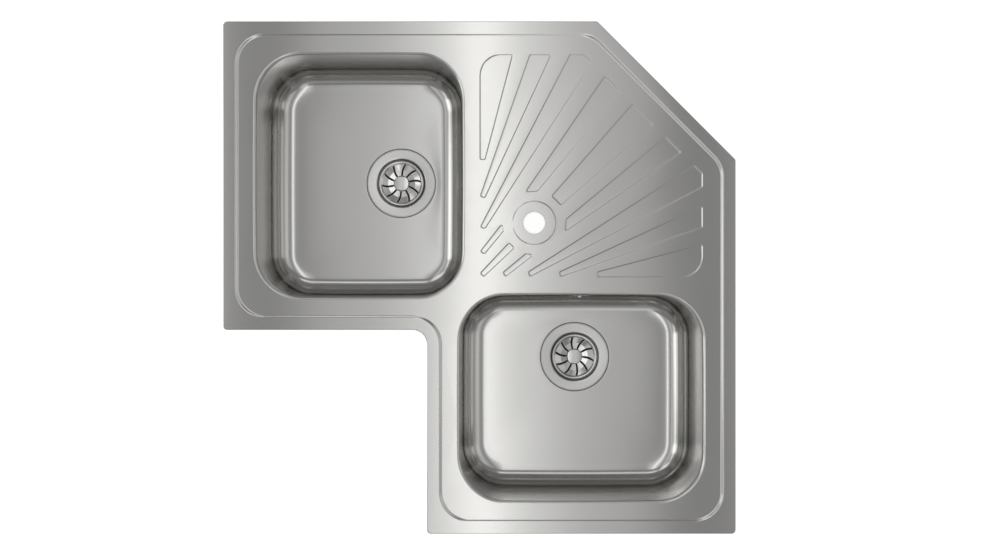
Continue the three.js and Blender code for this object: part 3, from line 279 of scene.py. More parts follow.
def inset(corners, distance):
    """Moves every side of a polygon inwards."""
    moved = []
    for i, corner in enumerate(corners):
        a = heading(corners[i - 1], corner)
        b = heading(corner, corners[(i + 1) % len(corners)])
        back = distance * (1 - a.dot(b)) / (a.x * b.y - a.y * b.x)
        x, y = corner
        moved.append((x - a.y * distance - a.x * back, y + a.x * distance - a.y * back))
    return moved


def rounded(corners, radius_at, steps):
    """Replaces every corner by an arc; `radius_at` gives its radius from its turn and number."""
    points = []
    for i, corner in enumerate(corners):
        a = heading(corners[i - 1], corner)
        b = heading(corner, corners[(i + 1) % len(corners)])
        turn = math.atan2(a.x * b.y - a.y * b.x, a.dot(b))
        radius = radius_at(turn, i)
        side = math.copysign(1, turn)
        start = Vector(corner) - a * radius * math.tan(abs(turn) / 2)
        middle = start + Vector((-a.y, a.x)) * side * radius
        arm = start - middle
        for k in range(steps + 1):
            c, s = math.cos(turn * k / steps), math.sin(turn * k / steps)
            points.append((middle.x + arm.x * c - arm.y * s, middle.y + arm.x * s + arm.y * c))
    return points


def circle(radius, count, x=0.0, y=0.0):
    angles = [2 * math.pi * k / count for k in range(count)]
    return [(x + radius * math.cos(a), y + radius * math.sin(a)) for a in angles]


def box_corners(half_x, half_y):
    return [(half_x, half_y), (-half_x, half_y), (-half_x, -half_y), (half_x, -half_y)]


print("points in a rounded square:", len(rounded(box_corners(1, 1), lambda turn, i: 0.2, 6)))

# %% [markdown]
# ## A sheet made of loops
#
# A pressed sheet is a row of outlines that step inwards and downwards, closed by flat panels.
# `Sheet` collects such loops, joins neighbours with strips and fills flat areas round their
# holes. Its wall is added afterwards by a Solidify modifier, so the inside follows by itself.


# %% Sheet
class Sheet:
    """Loops of points in millimetres, joined by strips and flat fills."""

    def __init__(self):
        self.points, self.faces = [], []

    def loop(self, outline, height):
        """Adds a closed loop at one height, or at a height for each point."""
        first = len(self.points)
        heights = height if isinstance(height, list) else [height] * len(outline)
        self.points += [(x, y, z) for (x, y), z in zip(outline, heights)]
        return list(range(first, first + len(outline)))

    def strip(self, lower, upper, left_out=()):
        count = len(lower)
        for k in range(count):
            if k in left_out:
                continue
            after = (k + 1) % count
            self.faces.append((lower[k], lower[after], upper[after], upper[k]))

    def strips(self, loops):
        for lower, upper in zip(loops, loops[1:]):
            self.strip(lower, upper)

    def fill(self, outer, holes=(), inner_points=(), axes=(0, 1)):
        """Fills the area between a loop and the loops inside it, as seen along one axis."""
        loops = [outer, *holes]
        chosen = [i for loop in loops for i in loop] + list(inner_points)
        edges, start = [], 0
        for loop in loops:
            edges += [(start + k, start + (k + 1) % len(loop)) for k in range(len(loop))]
            start += len(loop)
        flat = [Vector([self.points[i][axis] for axis in axes]) for i in chosen]
        _, _, triangles, source, _, _ = delaunay_2d_cdt(flat, edges, [], 1, 1e-7)
        outlines = [[flat[chosen.index(i)] for i in hole] for hole in holes]
        for triangle in triangles:
            index = [chosen[source[i][0]] for i in triangle]
            middle = sum((flat[source[i][0]] for i in triangle), Vector((0, 0))) / 3
            if not any(holds(outline, middle) for outline in outlines):
                self.faces.append(tuple(index))

    def mesh(self, name):
        mesh = bpy.data.meshes.new(name)
        mesh.from_pydata([tuple(v * MM for v in point) for point in self.points], [], self.faces)
        return mesh

    def object(self, name, finish, wall):
        return finished(name, sound(self.mesh(name), up=True), finish, wall)


def sound(mesh, up=False):
    """Merges doubles and turns the faces outwards, or on an open sheet mostly upwards."""
    edit = bmesh.new()
    edit.from_mesh(mesh)
    bmesh.ops.remove_doubles(edit, verts=edit.verts, dist=2e-6)
    bmesh.ops.dissolve_degenerate(edit, edges=edit.edges, dist=1e-6)
    bmesh.ops.recalc_face_normals(edit, faces=edit.faces)
    if up and sum(face.normal.z * face.calc_area() for face in edit.faces) < 0:
        bmesh.ops.reverse_faces(edit, faces=edit.faces)
    edit.to_mesh(mesh)
    edit.free()
    return mesh


def holds(outline, point):
    """Whether a point lies inside an outline."""
    inside = False
    for a, b in zip(outline, outline[1:] + outline[:1]):
        if (a.y > point.y) != (b.y > point.y):
            if point.x < a.x + (point.y - a.y) / (b.y - a.y) * (b.x - a.x):
                inside = not inside
    return inside


def finished(name, mesh, finish, wall=0.0):
    """Gives a mesh its finish, smooth shading and, where it is a sheet, its wall."""
    piece = bpy.data.objects.new(name, mesh)
    bpy.context.collection.objects.link(piece)
    mesh.materials.clear()
    mesh.materials.append(finish)
    mesh.shade_smooth()
    if wall:
        solidify = piece.modifiers.new("wall", "SOLIDIFY")
        solidify.thickness = wall * MM
        solidify.offset = -1
    weighted = piece.modifiers.new("normals", "WEIGHTED_NORMAL")
    weighted.weight = 100
    return piece


def stands_for(piece, nodes, body="sink"):
    """Lets a piece replace its solids, which it hides, and ride on its body."""
    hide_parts(*nodes)
    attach(piece, body)
    return piece


def place_of(node):
    """The middle of a solid, in millimetres."""
    low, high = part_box(node)
    return (low + high) / 2 / MM


print("sheet tools ready")

# %% [markdown]
# ## The deck
#
# The deck is the part everybody sees, so its curves are made again much finer than the solid's
# facets: the turned-down edge, the S-shaped step behind the border, the quarter-round mouths
# of the bowls, the pressed panels of the drainer and the raised ring of the tap hole. All of
# them are loops of the same outlines; the flat field between them is filled last.

# %% The sink's plan
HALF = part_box("deck")[1].x / MM
ARM_DEPTH, CORNER_CUT = 500, 224
OUTER_RADIUS, NOTCH_RADIUS, STEP_RADIUS = 7, 23, 49
SHEET = 0.9
RIM_TOP, EDGE_CLEARANCE, EDGE_ROUND = 3, 0.4, 1.4
BORDER, STEP_WIDTH, STEP_DROP = 19, 6, 2
FIELD = RIM_TOP - STEP_DROP
NOTCH = ARM_DEPTH - HALF
OUTLINE = [
    (-HALF, -NOTCH),
    (-NOTCH, -NOTCH),
    (-NOTCH, -HALF),
    (HALF, -HALF),
    (HALF, HALF - CORNER_CUT),
    (HALF - CORNER_CUT, HALF),
    (-HALF, HALF),
]


def rim_loop(distance):
    outward = OUTER_RADIUS if distance < BORDER else STEP_RADIUS + BORDER - distance
    return rounded(
        inset(OUTLINE, distance),
        lambda turn, i: outward if turn > 0 else NOTCH_RADIUS + distance,
        20,
    )


def ease(share):
    """A smooth step from 0 to 1, as a pressed sheet bends over its die."""
    return 0.5 - 0.5 * math.cos(math.pi * share)


def press(width, drop, top, steps):
    """The (distance, height) pairs of a step pressed into a sheet."""
    return [(width * k / steps, top - drop * ease(k / steps)) for k in range(steps + 1)]


def quarter_round(radius, top, steps, start=0):
    """The (distance, height) pairs of an edge that rolls over from flat to upright."""
    angles = [math.radians(start + (90 - start) * k / steps) for k in range(steps + 1)]
    return [(radius * math.sin(a), top - radius * (1 - math.cos(a))) for a in angles]


print("outline corners:", len(OUTLINE), "side, mm:", round(2 * HALF, 1))

# %% [markdown]
# ### The bowls' mouths
#
# A mouth is a rounded rectangle whose sides bow outwards by 2 mm, which keeps pressed walls
# from looking dented. Both bowls share one plan; the right one is turned by a quarter.

# %% Mouth outline
REACH, MARGIN = 340, 50
SPAN = ARM_DEPTH - 2 * MARGIN
MOUTH_CORNER, BOW, MOUTH_FILLET, COLLAR = 76, 2, 4.5, 7
CORNER_STEPS, SIDE_STEPS = 18, 24
ARMS = {
    "left": (-HALF + MARGIN + REACH / 2, HALF - MARGIN - SPAN / 2, 0),
    "right": (HALF - MARGIN - SPAN / 2, -HALF + MARGIN + REACH / 2, 1),
}


def mouth_loop(distance):
    x, y = REACH / 2, SPAN / 2
    corners = inset(box_corners(x, y), distance)
    arcs = rounded(corners, lambda turn, i: MOUTH_CORNER - distance, CORNER_STEPS)
    points = []
    for i, point in enumerate(arcs):
        points.append(point)
        if (i + 1) % (CORNER_STEPS + 1) == 0:
            after = arcs[(i + 1) % len(arcs)]
            for k in range(1, SIDE_STEPS + 1):
                share = k / (SIDE_STEPS + 1)
                points.append(tuple(p + (q - p) * share for p, q in zip(point, after)))
    return [
        (px + BOW * px / x * (1 - (py / y) ** 2), py + BOW * py / y * (1 - (px / x) ** 2))
        for px, py in points
    ]


def in_sink(outline, arm):
    """Moves an outline from a bowl's own frame to the sink's."""
    x, y, turned = ARMS[arm]
    return [(x - v, y + u) if turned else (x + u, y + v) for u, v in outline]


print("mouth points:", len(mouth_loop(0)), "bowl middles:", ARMS["left"][:2], ARMS["right"][:2])

# %% [markdown]
# ### The drainer
#
# Twelve shallow panels fan out from the inner corner past the tap hole. Five of them are
# listed, by where their feet and heads lie on a few guide lines. Five more mirror these in the
# line Y = X, and the last two lie across that line. An arc's share or an angle says where on
# its guide line a corner lies, so the fan follows the sink's size.

# %% Fan of panels
PANEL_MARGIN, PANEL_FOOT, FOOT_WIDTH = 53, 25, 9.9
PANEL_PRESS, PANEL_SLOPE, PANEL_ROUND, FIRST_PANEL_ROUND = 1, 2.2, 3.4, 34
PRESS_STEPS = 6
TAP_TO_BOWLS, TAP_HOLE_RADIUS, TAP_RING_RADIUS, TAP_CLEAR = 113.7, 17.5, 35, 51
TAP_RING_RISE, TAP_LIP, TAP_FACETS = 0.8, 0.6, 96
BOWL_NEAR = -HALF + MARGIN + REACH
TAP = BOWL_NEAR + TAP_TO_BOWLS
FOOT = BOWL_NEAR + PANEL_FOOT
HEAD = HALF - PANEL_MARGIN
CUT_HEAD = 2 * HALF - CORNER_CUT - PANEL_MARGIN * math.sqrt(2)
CUT_START, CUT_MIDDLE = CUT_HEAD - HEAD, CUT_HEAD / 2


def on_top(share):
    return (FOOT + (CUT_START - FOOT) * share, HEAD)


def on_cut(share):
    x = CUT_START + (CUT_MIDDLE - CUT_START) * share
    return (x, CUT_HEAD - x)


def at_foot(share, tilt):
    y, angle = FOOT + (HEAD - FOOT) * share, math.radians(tilt)
    return [(FOOT, y), (FOOT + FOOT_WIDTH * math.cos(angle), y - FOOT_WIDTH * math.sin(angle))]


def round_tap(*angles):
    return [
        (TAP + TAP_CLEAR * math.cos(math.radians(a)), TAP + TAP_CLEAR * math.sin(math.radians(a)))
        for a in angles
    ]


def mirrored(corners):
    return [(y, x) for x, y in reversed(corners)]


HALF_FAN = [
    [*at_foot(0.525, 0), on_top(0.325), on_top(0)],
    [*at_foot(0.362, 18), on_top(0.695), on_top(0.479)],
    [*at_foot(0.224, 18), on_cut(0.145), on_top(1), on_top(0.864)],
    [*round_tap(109, 83), on_cut(0.627), on_cut(0.352)],
    [*at_foot(0.116, 32), *round_tap(196, 178)],
]
MIDDLE_FOOT = (FOOT, FOOT + FOOT_WIDTH * math.sqrt(0.5))
MIDDLE_PANELS = [
    [*round_tap(58, 32), *mirrored([on_cut(0.819)]), on_cut(0.819)],
    [MIDDLE_FOOT, *mirrored([MIDDLE_FOOT]), *round_tap(233, 217)],
]
PANELS = HALF_FAN + [mirrored(panel) for panel in HALF_FAN] + MIDDLE_PANELS
WIDE_CORNERS = [(FOOT, HEAD), (HEAD, FOOT)]


def panel_loop(corners, distance):
    radii = [FIRST_PANEL_ROUND if corner in WIDE_CORNERS else PANEL_ROUND for corner in corners]
    return rounded(inset(corners, distance), lambda turn, i: max(radii[i] - distance, 0.5), 8)


print("panels:", len(PANELS))

# %% Deck
deck = Sheet()
edge = [(0, EDGE_CLEARANCE), (0, (EDGE_CLEARANCE + RIM_TOP) / 2)]
turns = [math.radians(15 * k) for k in range(7)]
roll = [
    (EDGE_ROUND * (1 - math.cos(a)), RIM_TOP - EDGE_ROUND * (1 - math.sin(a))) for a in turns
]
step = [(BORDER + d, z) for d, z in press(STEP_WIDTH, STEP_DROP, RIM_TOP, 12)]
rim = [deck.loop(rim_loop(d), z) for d, z in edge + roll + step]
deck.strips(rim)

holes = []
for arm in ARMS:
    profile = quarter_round(MOUTH_FILLET, FIELD, 9) + [(MOUTH_FILLET, FIELD - COLLAR)]
    mouth = [deck.loop(in_sink(mouth_loop(d), arm), z) for d, z in profile]
    deck.strips(mouth)
    holes.append(mouth[0])
panel_rows = press(PANEL_SLOPE, PANEL_PRESS, FIELD, PRESS_STEPS)
for corners in PANELS:
    slope = [deck.loop(panel_loop(corners, d), z) for d, z in panel_rows]
    deck.strips(slope)
    deck.fill(slope[-1])
    holes.append(slope[0])
ring = [
    deck.loop(circle(TAP_RING_RADIUS + PANEL_SLOPE / 2 - d, TAP_FACETS, TAP, TAP), z)
    for d, z in press(PANEL_SLOPE, -TAP_RING_RISE, FIELD, PRESS_STEPS)
]
lip = [
    (TAP_HOLE_RADIUS + TAP_LIP - d, z) for d, z in quarter_round(TAP_LIP, FIELD + TAP_RING_RISE, 3)
]
ring += [deck.loop(circle(radius, TAP_FACETS, TAP, TAP), z) for radius, z in lip]
deck.strips(ring)
holes.append(ring[0])
deck.fill(rim[-1], holes)

deck_sheet = stands_for(deck.object("deck_sheet", BRUSHED, SHEET), ["deck"])
print("deck faces:", len(deck_sheet.data.polygons))

# %% [markdown]
# ## The bowls
#
# A deep-drawn bowl follows a rule from mouth to waste: the wall leans in by 3 mm, a large
# round turns it into the floor, and the floor falls a little towards the round recess of the
# waste. One row of loops tells it all. Only the right bowl has an overflow, so there a patch
# of the wall is left out and filled again round a hole.

# %% Bowl profile
DEPTH, WALL_RUN, FLOOR_FILLET, FLOOR_FALL = 180, 3, 36, 0.5
WASTE_OFFSET, RECESS_RADIUS, RECESS_DEPTH, WASTE_HOLE_RADIUS = 56.5, 59, 2.2, 46
COLLAR_END = FIELD - COLLAR
FLOOR = FIELD - DEPTH
RECESS = FLOOR - RECESS_DEPTH
FLOOR_EDGE = FLOOR + FLOOR_FALL
FILLET_TOP = FLOOR_EDGE + FLOOR_FILLET
OVERFLOW_DEPTH, OVERFLOW_HOLE_RADIUS = 37, 14
OVERFLOW_Z = FIELD - OVERFLOW_DEPTH


def wall_inset(z):
    return MOUTH_FILLET + WALL_RUN * (COLLAR_END - z) / (COLLAR_END - FILLET_TOP)


def bowl_profile():
    """(distance, height) pairs from the collar's end down to the floor's edge."""
    rows = 19
    wall = [COLLAR_END + (FILLET_TOP - COLLAR_END) * k / rows for k in range(rows)]
    foot = wall_inset(FILLET_TOP) + FLOOR_FILLET
    angles = [math.radians(90 * k / 18) for k in range(19)]
    fillet = [
        (foot - FLOOR_FILLET * math.cos(a), FILLET_TOP - FLOOR_FILLET * math.sin(a)) for a in angles
    ]
    return [(wall_inset(z), z) for z in wall] + fillet


print("bowl depth, mm:", DEPTH, "profile loops:", len(bowl_profile()))

# %% Bowls
FLOOR_STEPS, RECESS_STEPS = 14, 8
RECESS_SLOPE = RECESS_DEPTH / 2 + 1


def floor_loops(sheet, arm, edge):
    """Loops that turn the floor's edge into the circle of the waste recess."""
    outer = RECESS_RADIUS + RECESS_SLOPE
    loops = []
    for k in range(1, FLOOR_STEPS + 1):
        share = k / FLOOR_STEPS
        points = []
        for x, y in edge:
            angle = math.atan2(y, x - WASTE_OFFSET)
            goal = (WASTE_OFFSET + outer * math.cos(angle), outer * math.sin(angle))
            points.append((x + (goal[0] - x) * share, y + (goal[1] - y) * share))
        height = FLOOR_EDGE - FLOOR_FALL * ease(share)
        loops.append(sheet.loop(in_sink(points, arm), height))
    angles = [math.atan2(y, x - WASTE_OFFSET) for x, y in edge]
    slope = press(RECESS_SLOPE, RECESS_DEPTH, FLOOR, RECESS_STEPS)
    recess = [(outer - d, z) for d, z in slope]
    for radius, z in recess + [(WASTE_HOLE_RADIUS + 6, RECESS), (WASTE_HOLE_RADIUS, RECESS)]:
        points = [(WASTE_OFFSET + radius * math.cos(a), radius * math.sin(a)) for a in angles]
        loops.append(sheet.loop(in_sink(points, arm), z))
    return loops


SIDE_START = 3 * (CORNER_STEPS + 1 + SIDE_STEPS) + CORNER_STEPS + 1
HOLE_COLUMNS, HOLE_ROWS = (9, 14), (1, 7)


def overflow_hole(sheet, arm, loops):
    """Closes the patch that is left out of the wall with a fill round the overflow's hole."""
    left, right = (SIDE_START + k for k in HOLE_COLUMNS)
    top, low = HOLE_ROWS
    border = [loops[top][k] for k in range(left, right)]
    border += [loops[j][right] for j in range(top, low)]
    border += [loops[low][k] for k in range(right, left, -1)]
    border += [loops[j][left] for j in range(low, top, -1)]
    rim, heights = [], []
    for y, z in circle(OVERFLOW_HOLE_RADIUS, 48, 0, OVERFLOW_Z):
        x = REACH / 2 - wall_inset(z)
        rim.append((x + BOW * x / (REACH / 2) * (1 - (y / (SPAN / 2)) ** 2), y))
        heights.append(z)
    hole = sheet.loop(in_sink(rim, arm), heights)
    sheet.fill(border, [hole], axes=(0, 2))


def bowl(arm):
    sheet = Sheet()
    profile = bowl_profile()
    loops = [sheet.loop(in_sink(mouth_loop(d), arm), z) for d, z in profile]
    loops += floor_loops(sheet, arm, mouth_loop(profile[-1][0]))
    has_overflow = arm == "right"
    patch = range(SIDE_START + HOLE_COLUMNS[0], SIDE_START + HOLE_COLUMNS[1])
    for j, (lower, upper) in enumerate(zip(loops, loops[1:])):
        beside = has_overflow and HOLE_ROWS[0] <= j < HOLE_ROWS[1]
        sheet.strip(lower, upper, patch if beside else ())
    if has_overflow:
        overflow_hole(sheet, arm, loops)
    piece = sheet.object(f"bowl_sheet_{arm}", BRUSHED, SHEET)
    return stands_for(piece, [f"bowl_{arm}"])


bowls = {arm: bowl(arm) for arm in ARMS}
print("bowl faces:", [len(piece.data.polygons) for piece in bowls.values()])

# %% [markdown]
# ## Geometry Nodes
#
# Perforations, threads, ribs and strips repeat or follow a path, so they are made by Geometry
# Nodes. `Recipe` builds such a tree: its sizes are named inputs, it always ends by realizing
# its instances and setting the material, and `make` runs it once and keeps the plain mesh.


# %% Recipes
class Recipe(Nodes):
    """A tree of geometry nodes with named inputs, run once to get a mesh."""

    KINDS = {float: "NodeSocketFloat", int: "NodeSocketInt", type(None): "NodeSocketObject"}

    def __init__(self, name, **inputs):
        super().__init__(bpy.data.node_groups.new(name, "GeometryNodeTree"))
        face = self.tree.interface
        face.new_socket("Geometry", in_out="INPUT", socket_type="NodeSocketGeometry")
        for label, value in inputs.items():
            socket = face.new_socket(label, in_out="INPUT", socket_type=self.KINDS[type(value)])
            if value is not None:
                socket.default_value = value
        face.new_socket("Finish", in_out="INPUT", socket_type="NodeSocketMaterial")
        face.new_socket("Geometry", in_out="OUTPUT", socket_type="NodeSocketGeometry")
        source = self.tree.nodes.new("NodeGroupInput")
        self.given = {socket.name: Flow(self, socket) for socket in source.outputs if socket.name}

    def end(self, geometry):
        real = self.node("GeometryNodeRealizeInstances", None, {0: geometry})
        sockets = {0: real, "Material": self.given["Finish"]}
        dressed = self.node("GeometryNodeSetMaterial", None, sockets)
        self.plug(self.tree.nodes.new("NodeGroupOutput").inputs[0], dressed)

    def make(self, name, mesh, finish, **sizes):
        source = bpy.data.objects.new(name, mesh)
        bpy.context.collection.objects.link(source)
        nodes = source.modifiers.new(name, "NODES")
        nodes.node_group = self.tree
        sockets = {item.name: item.identifier for item in self.tree.interface.items_tree}
        for label, value in {**sizes, "Finish": finish}.items():
            nodes[sockets[label]] = value
        evaluated = source.evaluated_get(bpy.context.evaluated_depsgraph_get())
        made = bpy.data.meshes.new_from_object(evaluated)
        bpy.data.objects.remove(source)
        made.name = name
        return made


def round_the_axis():
    recipe = Recipe("round the axis", Count=6)
    count = recipe.given["Count"]
    turns = recipe.node("GeometryNodeMeshLine", None, {"Count": count, "Offset": (0, 0, 0)})
    angle = recipe.node("GeometryNodeInputIndex") * (2 * math.pi) / count
    spin = recipe.node("ShaderNodeCombineXYZ", None, {"Z": angle})
    sockets = {"Points": turns, "Instance": recipe.given["Geometry"], "Rotation": spin}
    recipe.end(recipe.node("GeometryNodeInstanceOnPoints", None, sockets))
    return recipe


ROUND_THE_AXIS = round_the_axis()
print("recipe:", ROUND_THE_AXIS.tree.name)

# %% [markdown]
# ## Perforated rounds
#
# The basket's dish, the floor of the waste and the overflow's rose are all round sheets with a
# ring of holes. One share of the round, with one hole in it, is a grid whose rows follow the
# profile and whose columns spread away from the hole's edge; the recipe above turns the share
# about the axis as often as there are holes. A hole is a rounded slot from one radius to
# another, which is a plain round hole where both are the same.


# %% Perforated rounds
def half_gap(radius, inner, outer, width):
    """Half the angle that a slot takes at a radius. Its ends are half circles."""
    half = width / 2
    if radius <= inner - half or radius >= outer + half:
        return 0.0
    at_inner, at_outer = radius < math.hypot(inner, half), radius > math.hypot(outer, half)
    if at_inner or at_outer:
        end = inner if at_inner else outer
        return math.acos(min(1, (radius**2 + end**2 - half**2) / (2 * radius * end)))
    return math.asin(half / radius)


def row_radii(inner, outer, width):
    """Radii at which a slot's outline is followed, close together at its ends."""
    half = width / 2
    ends = [half * math.cos(math.radians(a)) for a in (0, 20, 40, 60, 80)]
    straight = [inner + (outer - inner) * k / 9 for k in range(10)]
    radii = [inner - end for end in ends] + straight + [outer + end for end in ends]
    return sorted({round(radius, 4) for radius in radii})


def share_of_round(rows, slot, count, columns, swirl=lambda radius: 0.0):
    """One of `count` equal shares of a round sheet; rows are its (radius, height) pairs."""
    sheet = Sheet()
    edge = math.pi / count
    for side in (-1, 1):
        lines = []
        for radius, height in rows:
            gap = half_gap(radius, *slot)
            steps = [gap + (edge - gap) * k / columns for k in range(columns + 1)]
            angles = [swirl(radius) + side * step for step in steps]
            outline = [(radius * math.cos(a), radius * math.sin(a)) for a in angles]
            lines.append(sheet.loop(outline, height))
        for line, after in zip(lines, lines[1:]):
            for k in range(columns):
                sheet.faces.append((line[k], line[k + 1], after[k + 1], after[k]))
    return sheet


def perforated(name, rows, slot, count, columns, finish, swirl=lambda radius: 0.0):
    """The whole round as a mesh, open along its holes and its inner and outer edge."""
    share = share_of_round(rows, slot, count, columns, swirl).mesh(name)
    return ROUND_THE_AXIS.make(name, share, finish, Count=count)


print("half the gap of a 10 mm hole at 20 mm, radians:", round(half_gap(20, 20, 20, 10), 3))

# %% [markdown]
# ## Turned pieces and their places
#
# Rings, stems and stoppers are turned about an axis: a loop of points for every corner of the
# profile. All pieces of a waste are made about the middle of its recess, and `seated` carries
# the mesh to its arm of the sink, so the object itself stays at the origin.


# %% Turned pieces
def lathe(profile, count=72, closed=False):
    """Turns (radius, height) pairs about Z; a closed profile ends where it starts."""
    sheet = Sheet()
    loops = [sheet.loop(circle(radius, count), z) for radius, z in profile]
    sheet.strips(loops + loops[:1] if closed else loops)
    return sheet


def bend(radius, x, z, start, end, steps=5):
    """An arc of a profile about (x, z), in degrees from +X towards +Z."""
    angles = [math.radians(start + (end - start) * k / steps) for k in range(steps + 1)]
    return [(x + radius * math.cos(a), z + radius * math.sin(a)) for a in angles]


def at_waste(arm, offset=WASTE_OFFSET, height=RECESS):
    """The placement of a waste's own frame, in metres."""
    x, y, turned = ARMS[arm]
    spin = Matrix.Rotation(math.pi / 2 * turned, 4, "Z")
    at_bowl = Matrix.Translation(Vector((x, y, height)) * MM)
    return at_bowl @ spin @ Matrix.Translation((offset * MM, 0, 0))


def seated(name, arm, mesh, finish, body, wall=0.0):
    """Makes a mesh the piece that stands for the solid `name` of one arm."""
    mesh.transform(at_waste(arm))
    piece = finished(f"{name}_piece_{arm}", sound(mesh, bool(wall)), finish, wall)
    return stands_for(piece, [f"{name}_{arm}"], body)


print("waste middle:", [round(v, 4) for v in at_waste("left").translation])

# %% [markdown]
# ## The waste cups
#
# A waste is one polished pressing: a broad flange with a rolled edge, a well with a ledge that
# carries the basket, and a floor with six drain holes. Read from the middle outwards it is a
# single profile, so the perforated round makes all of it at once.

# %% Waste cups
CUP_WALL = 0.8
CUP_HOLES, CUP_HOLE_REACH, CUP_HOLE_WIDTH = 6, 21.7, 10
WELL_FLOOR, WELL_NECK, WELL, LEDGE, FLANGE = -22.5, 37.4, 41.5, -2.9, 58
FLANGE_TOP, FLANGE_FALL = 2.6, 0.4
SCREW_HOLE = 3.3


def cup_rows():
    hole = (CUP_HOLE_REACH, CUP_HOLE_REACH, CUP_HOLE_WIDTH)
    floor = [(r, WELL_FLOOR) for r in [SCREW_HOLE, 8, 13, *row_radii(*hole), 30, 33]]
    foot = bend(2, WELL_NECK - 2, WELL_FLOOR + 2, -90, 0)
    ledge = bend(1, WELL_NECK + 1, LEDGE - 1.4, 180, 90)
    ledge += bend(0.6, WELL - 0.6, LEDGE + 0.4, -90, 0, 3)
    mouth = bend(3, WELL + 3, FLANGE_TOP - FLANGE_FALL - 3, 180, 90, 8)
    rim = bend(0.8, FLANGE - 0.8, FLANGE_TOP - 0.8, 90, 0, 5)
    return floor + foot + [(WELL_NECK, -12)] + ledge + mouth + rim + [(FLANGE, 0.4)], hole


for arm in ARMS:
    rows, hole = cup_rows()
    mesh = perforated("waste cup", rows, hole, CUP_HOLES, 12, WASTE_STEEL)
    cup = seated("waste_cup", arm, mesh, WASTE_STEEL, "sink", CUP_WALL)
print("cup rows:", len(rows), "faces:", len(cup.data.polygons))

# %% [markdown]
# ## The baskets
#
# The dish is the eye-catcher of a waste: ten slots swirl round it clockwise on their way out.
# Its floor is a shallow cone that breaks into a steeper one, and its rim lies flat on the
# ledge of the well. The button in its middle is a square with very round corners, and under
# it a stem carries the rubber stopper, which only the lifted basket shows.

# %% Basket dishes
DISH, DISH_WALL, DISH_TOP, HUB_TOP = 39.5, 0.8, -0.6, -6.4
DISH_SLOTS, SLOT_START, SLOT_END, SLOT_WIDTH, SLOT_SWIRL = 10, 13.6, 34, 2.8, 9
DISH_HUB, DISH_CONE = [(0, HUB_TOP), (13, HUB_TOP)], [(24, -5.6), (33.6, -2.4)]
DISH_PROFILE = DISH_HUB + DISH_CONE + [(36.2, -0.85), (37.4, DISH_TOP)]


def along_profile(profile, radius):
    """The height of a profile's line at a radius."""
    for (r0, z0), (r1, z1) in zip(profile, profile[1:]):
        if radius <= r1:
            return z0 + (z1 - z0) * (radius - r0) / (r1 - r0)
    return profile[-1][1]


def slot_swirl(radius):
    share = min(1, max(0, (radius - SLOT_START) / (SLOT_END - SLOT_START)))
    return math.radians(360 / DISH_SLOTS * 0.4 - SLOT_SWIRL * share**2)


def dish_rows():
    half = SLOT_WIDTH / 2
    slot = (SLOT_START + half, SLOT_END - half, SLOT_WIDTH)
    breaks = [radius for radius, _ in DISH_PROFILE[len(DISH_HUB):]]
    radii = [4.5, 9, 12.4, *row_radii(*slot), *breaks, 23.7, 24.3, 34.6, 35.6, 36.8, 38.2]
    inner = [(r, along_profile(DISH_PROFILE, r)) for r in sorted(radii)]
    rim = bend(0.6, DISH - 0.6, DISH_TOP - 0.6, 90, 0, 4)
    return inner + rim + [(DISH, DISH_TOP - 1.9)], slot


for arm in ARMS:
    rows, slot = dish_rows()
    mesh = perforated("basket dish", rows, slot, DISH_SLOTS, 8, WASTE_STEEL, slot_swirl)
    body = f"basket_{arm}"
    dish = seated("basket_dish", arm, mesh, WASTE_STEEL, body, DISH_WALL)
print("dish faces:", len(dish.data.polygons), "slots:", DISH_SLOTS)

# %% Buttons, stems and stoppers
BUTTON_HALF, BUTTON_CORNER, BUTTON_UNDER, BUTTON_TOP = 12, 8.6, HUB_TOP + 0.3, HUB_TOP + 3.8


def button():
    square = box_corners(BUTTON_HALF, BUTTON_HALF)
    under = [(1, BUTTON_UNDER), (0.3, BUTTON_UNDER + 0.2), (0, BUTTON_UNDER + 0.8)]
    top = [(1 - x, BUTTON_TOP - 1.2 + z) for x, z in bend(1, 0, 0, 0, 90, 4)]
    dome = [(3, BUTTON_TOP - 0.12), (6, BUTTON_TOP - 0.04), (8.2, BUTTON_TOP)]
    sheet = Sheet()
    loops = []
    for distance, z in under + top + dome:
        corner = max(BUTTON_CORNER - distance, 0.4)
        loops.append(sheet.loop(rounded(inset(square, distance), lambda turn, i: corner, 10), z))
    sheet.strips(loops)
    sheet.fill(loops[0])
    sheet.fill(loops[-1])
    return sheet.mesh("button")


STOPPER_TOP, STEM, STEM_FOOT = -17, 4.2, 9.2
STOPPER, STOPPER_LIP, STOPPER_UNDER = 34, -22.2, -18.6
stem_profile = [
    (0, STOPPER_TOP + 0.3),
    *bend(0.4, STEM_FOOT - 0.4, STOPPER_TOP + 0.7, -90, 0, 3),
    *bend(0.4, STEM_FOOT - 0.4, STOPPER_TOP + 1, 0, 60, 3),
    *bend(1.2, STEM + 1.2, STOPPER_TOP + 2.5, -110, -180, 4),
    (STEM, HUB_TOP),
    (0, HUB_TOP),
]
stopper_profile = [
    (0, STOPPER_UNDER),
    (STOPPER - 5, STOPPER_UNDER),
    (STOPPER - 2.4, STOPPER_LIP + 0.4),
    *bend(0.8, STOPPER - 0.8, STOPPER_LIP + 0.8, -90, 0, 4),
    *bend(0.8, STOPPER - 0.8, STOPPER_LIP + 1.4, 0, 70, 4),
    (STOPPER - 3, STOPPER_UNDER + 1),
    (STOPPER - 8, STOPPER_UNDER + 1.25),
    *bend(0.5, 22, STOPPER_UNDER + 1.45, -90, -180, 2),
    (12, STOPPER_TOP - 0.2),
    (10.2, STOPPER_TOP),
    (0, STOPPER_TOP),
]
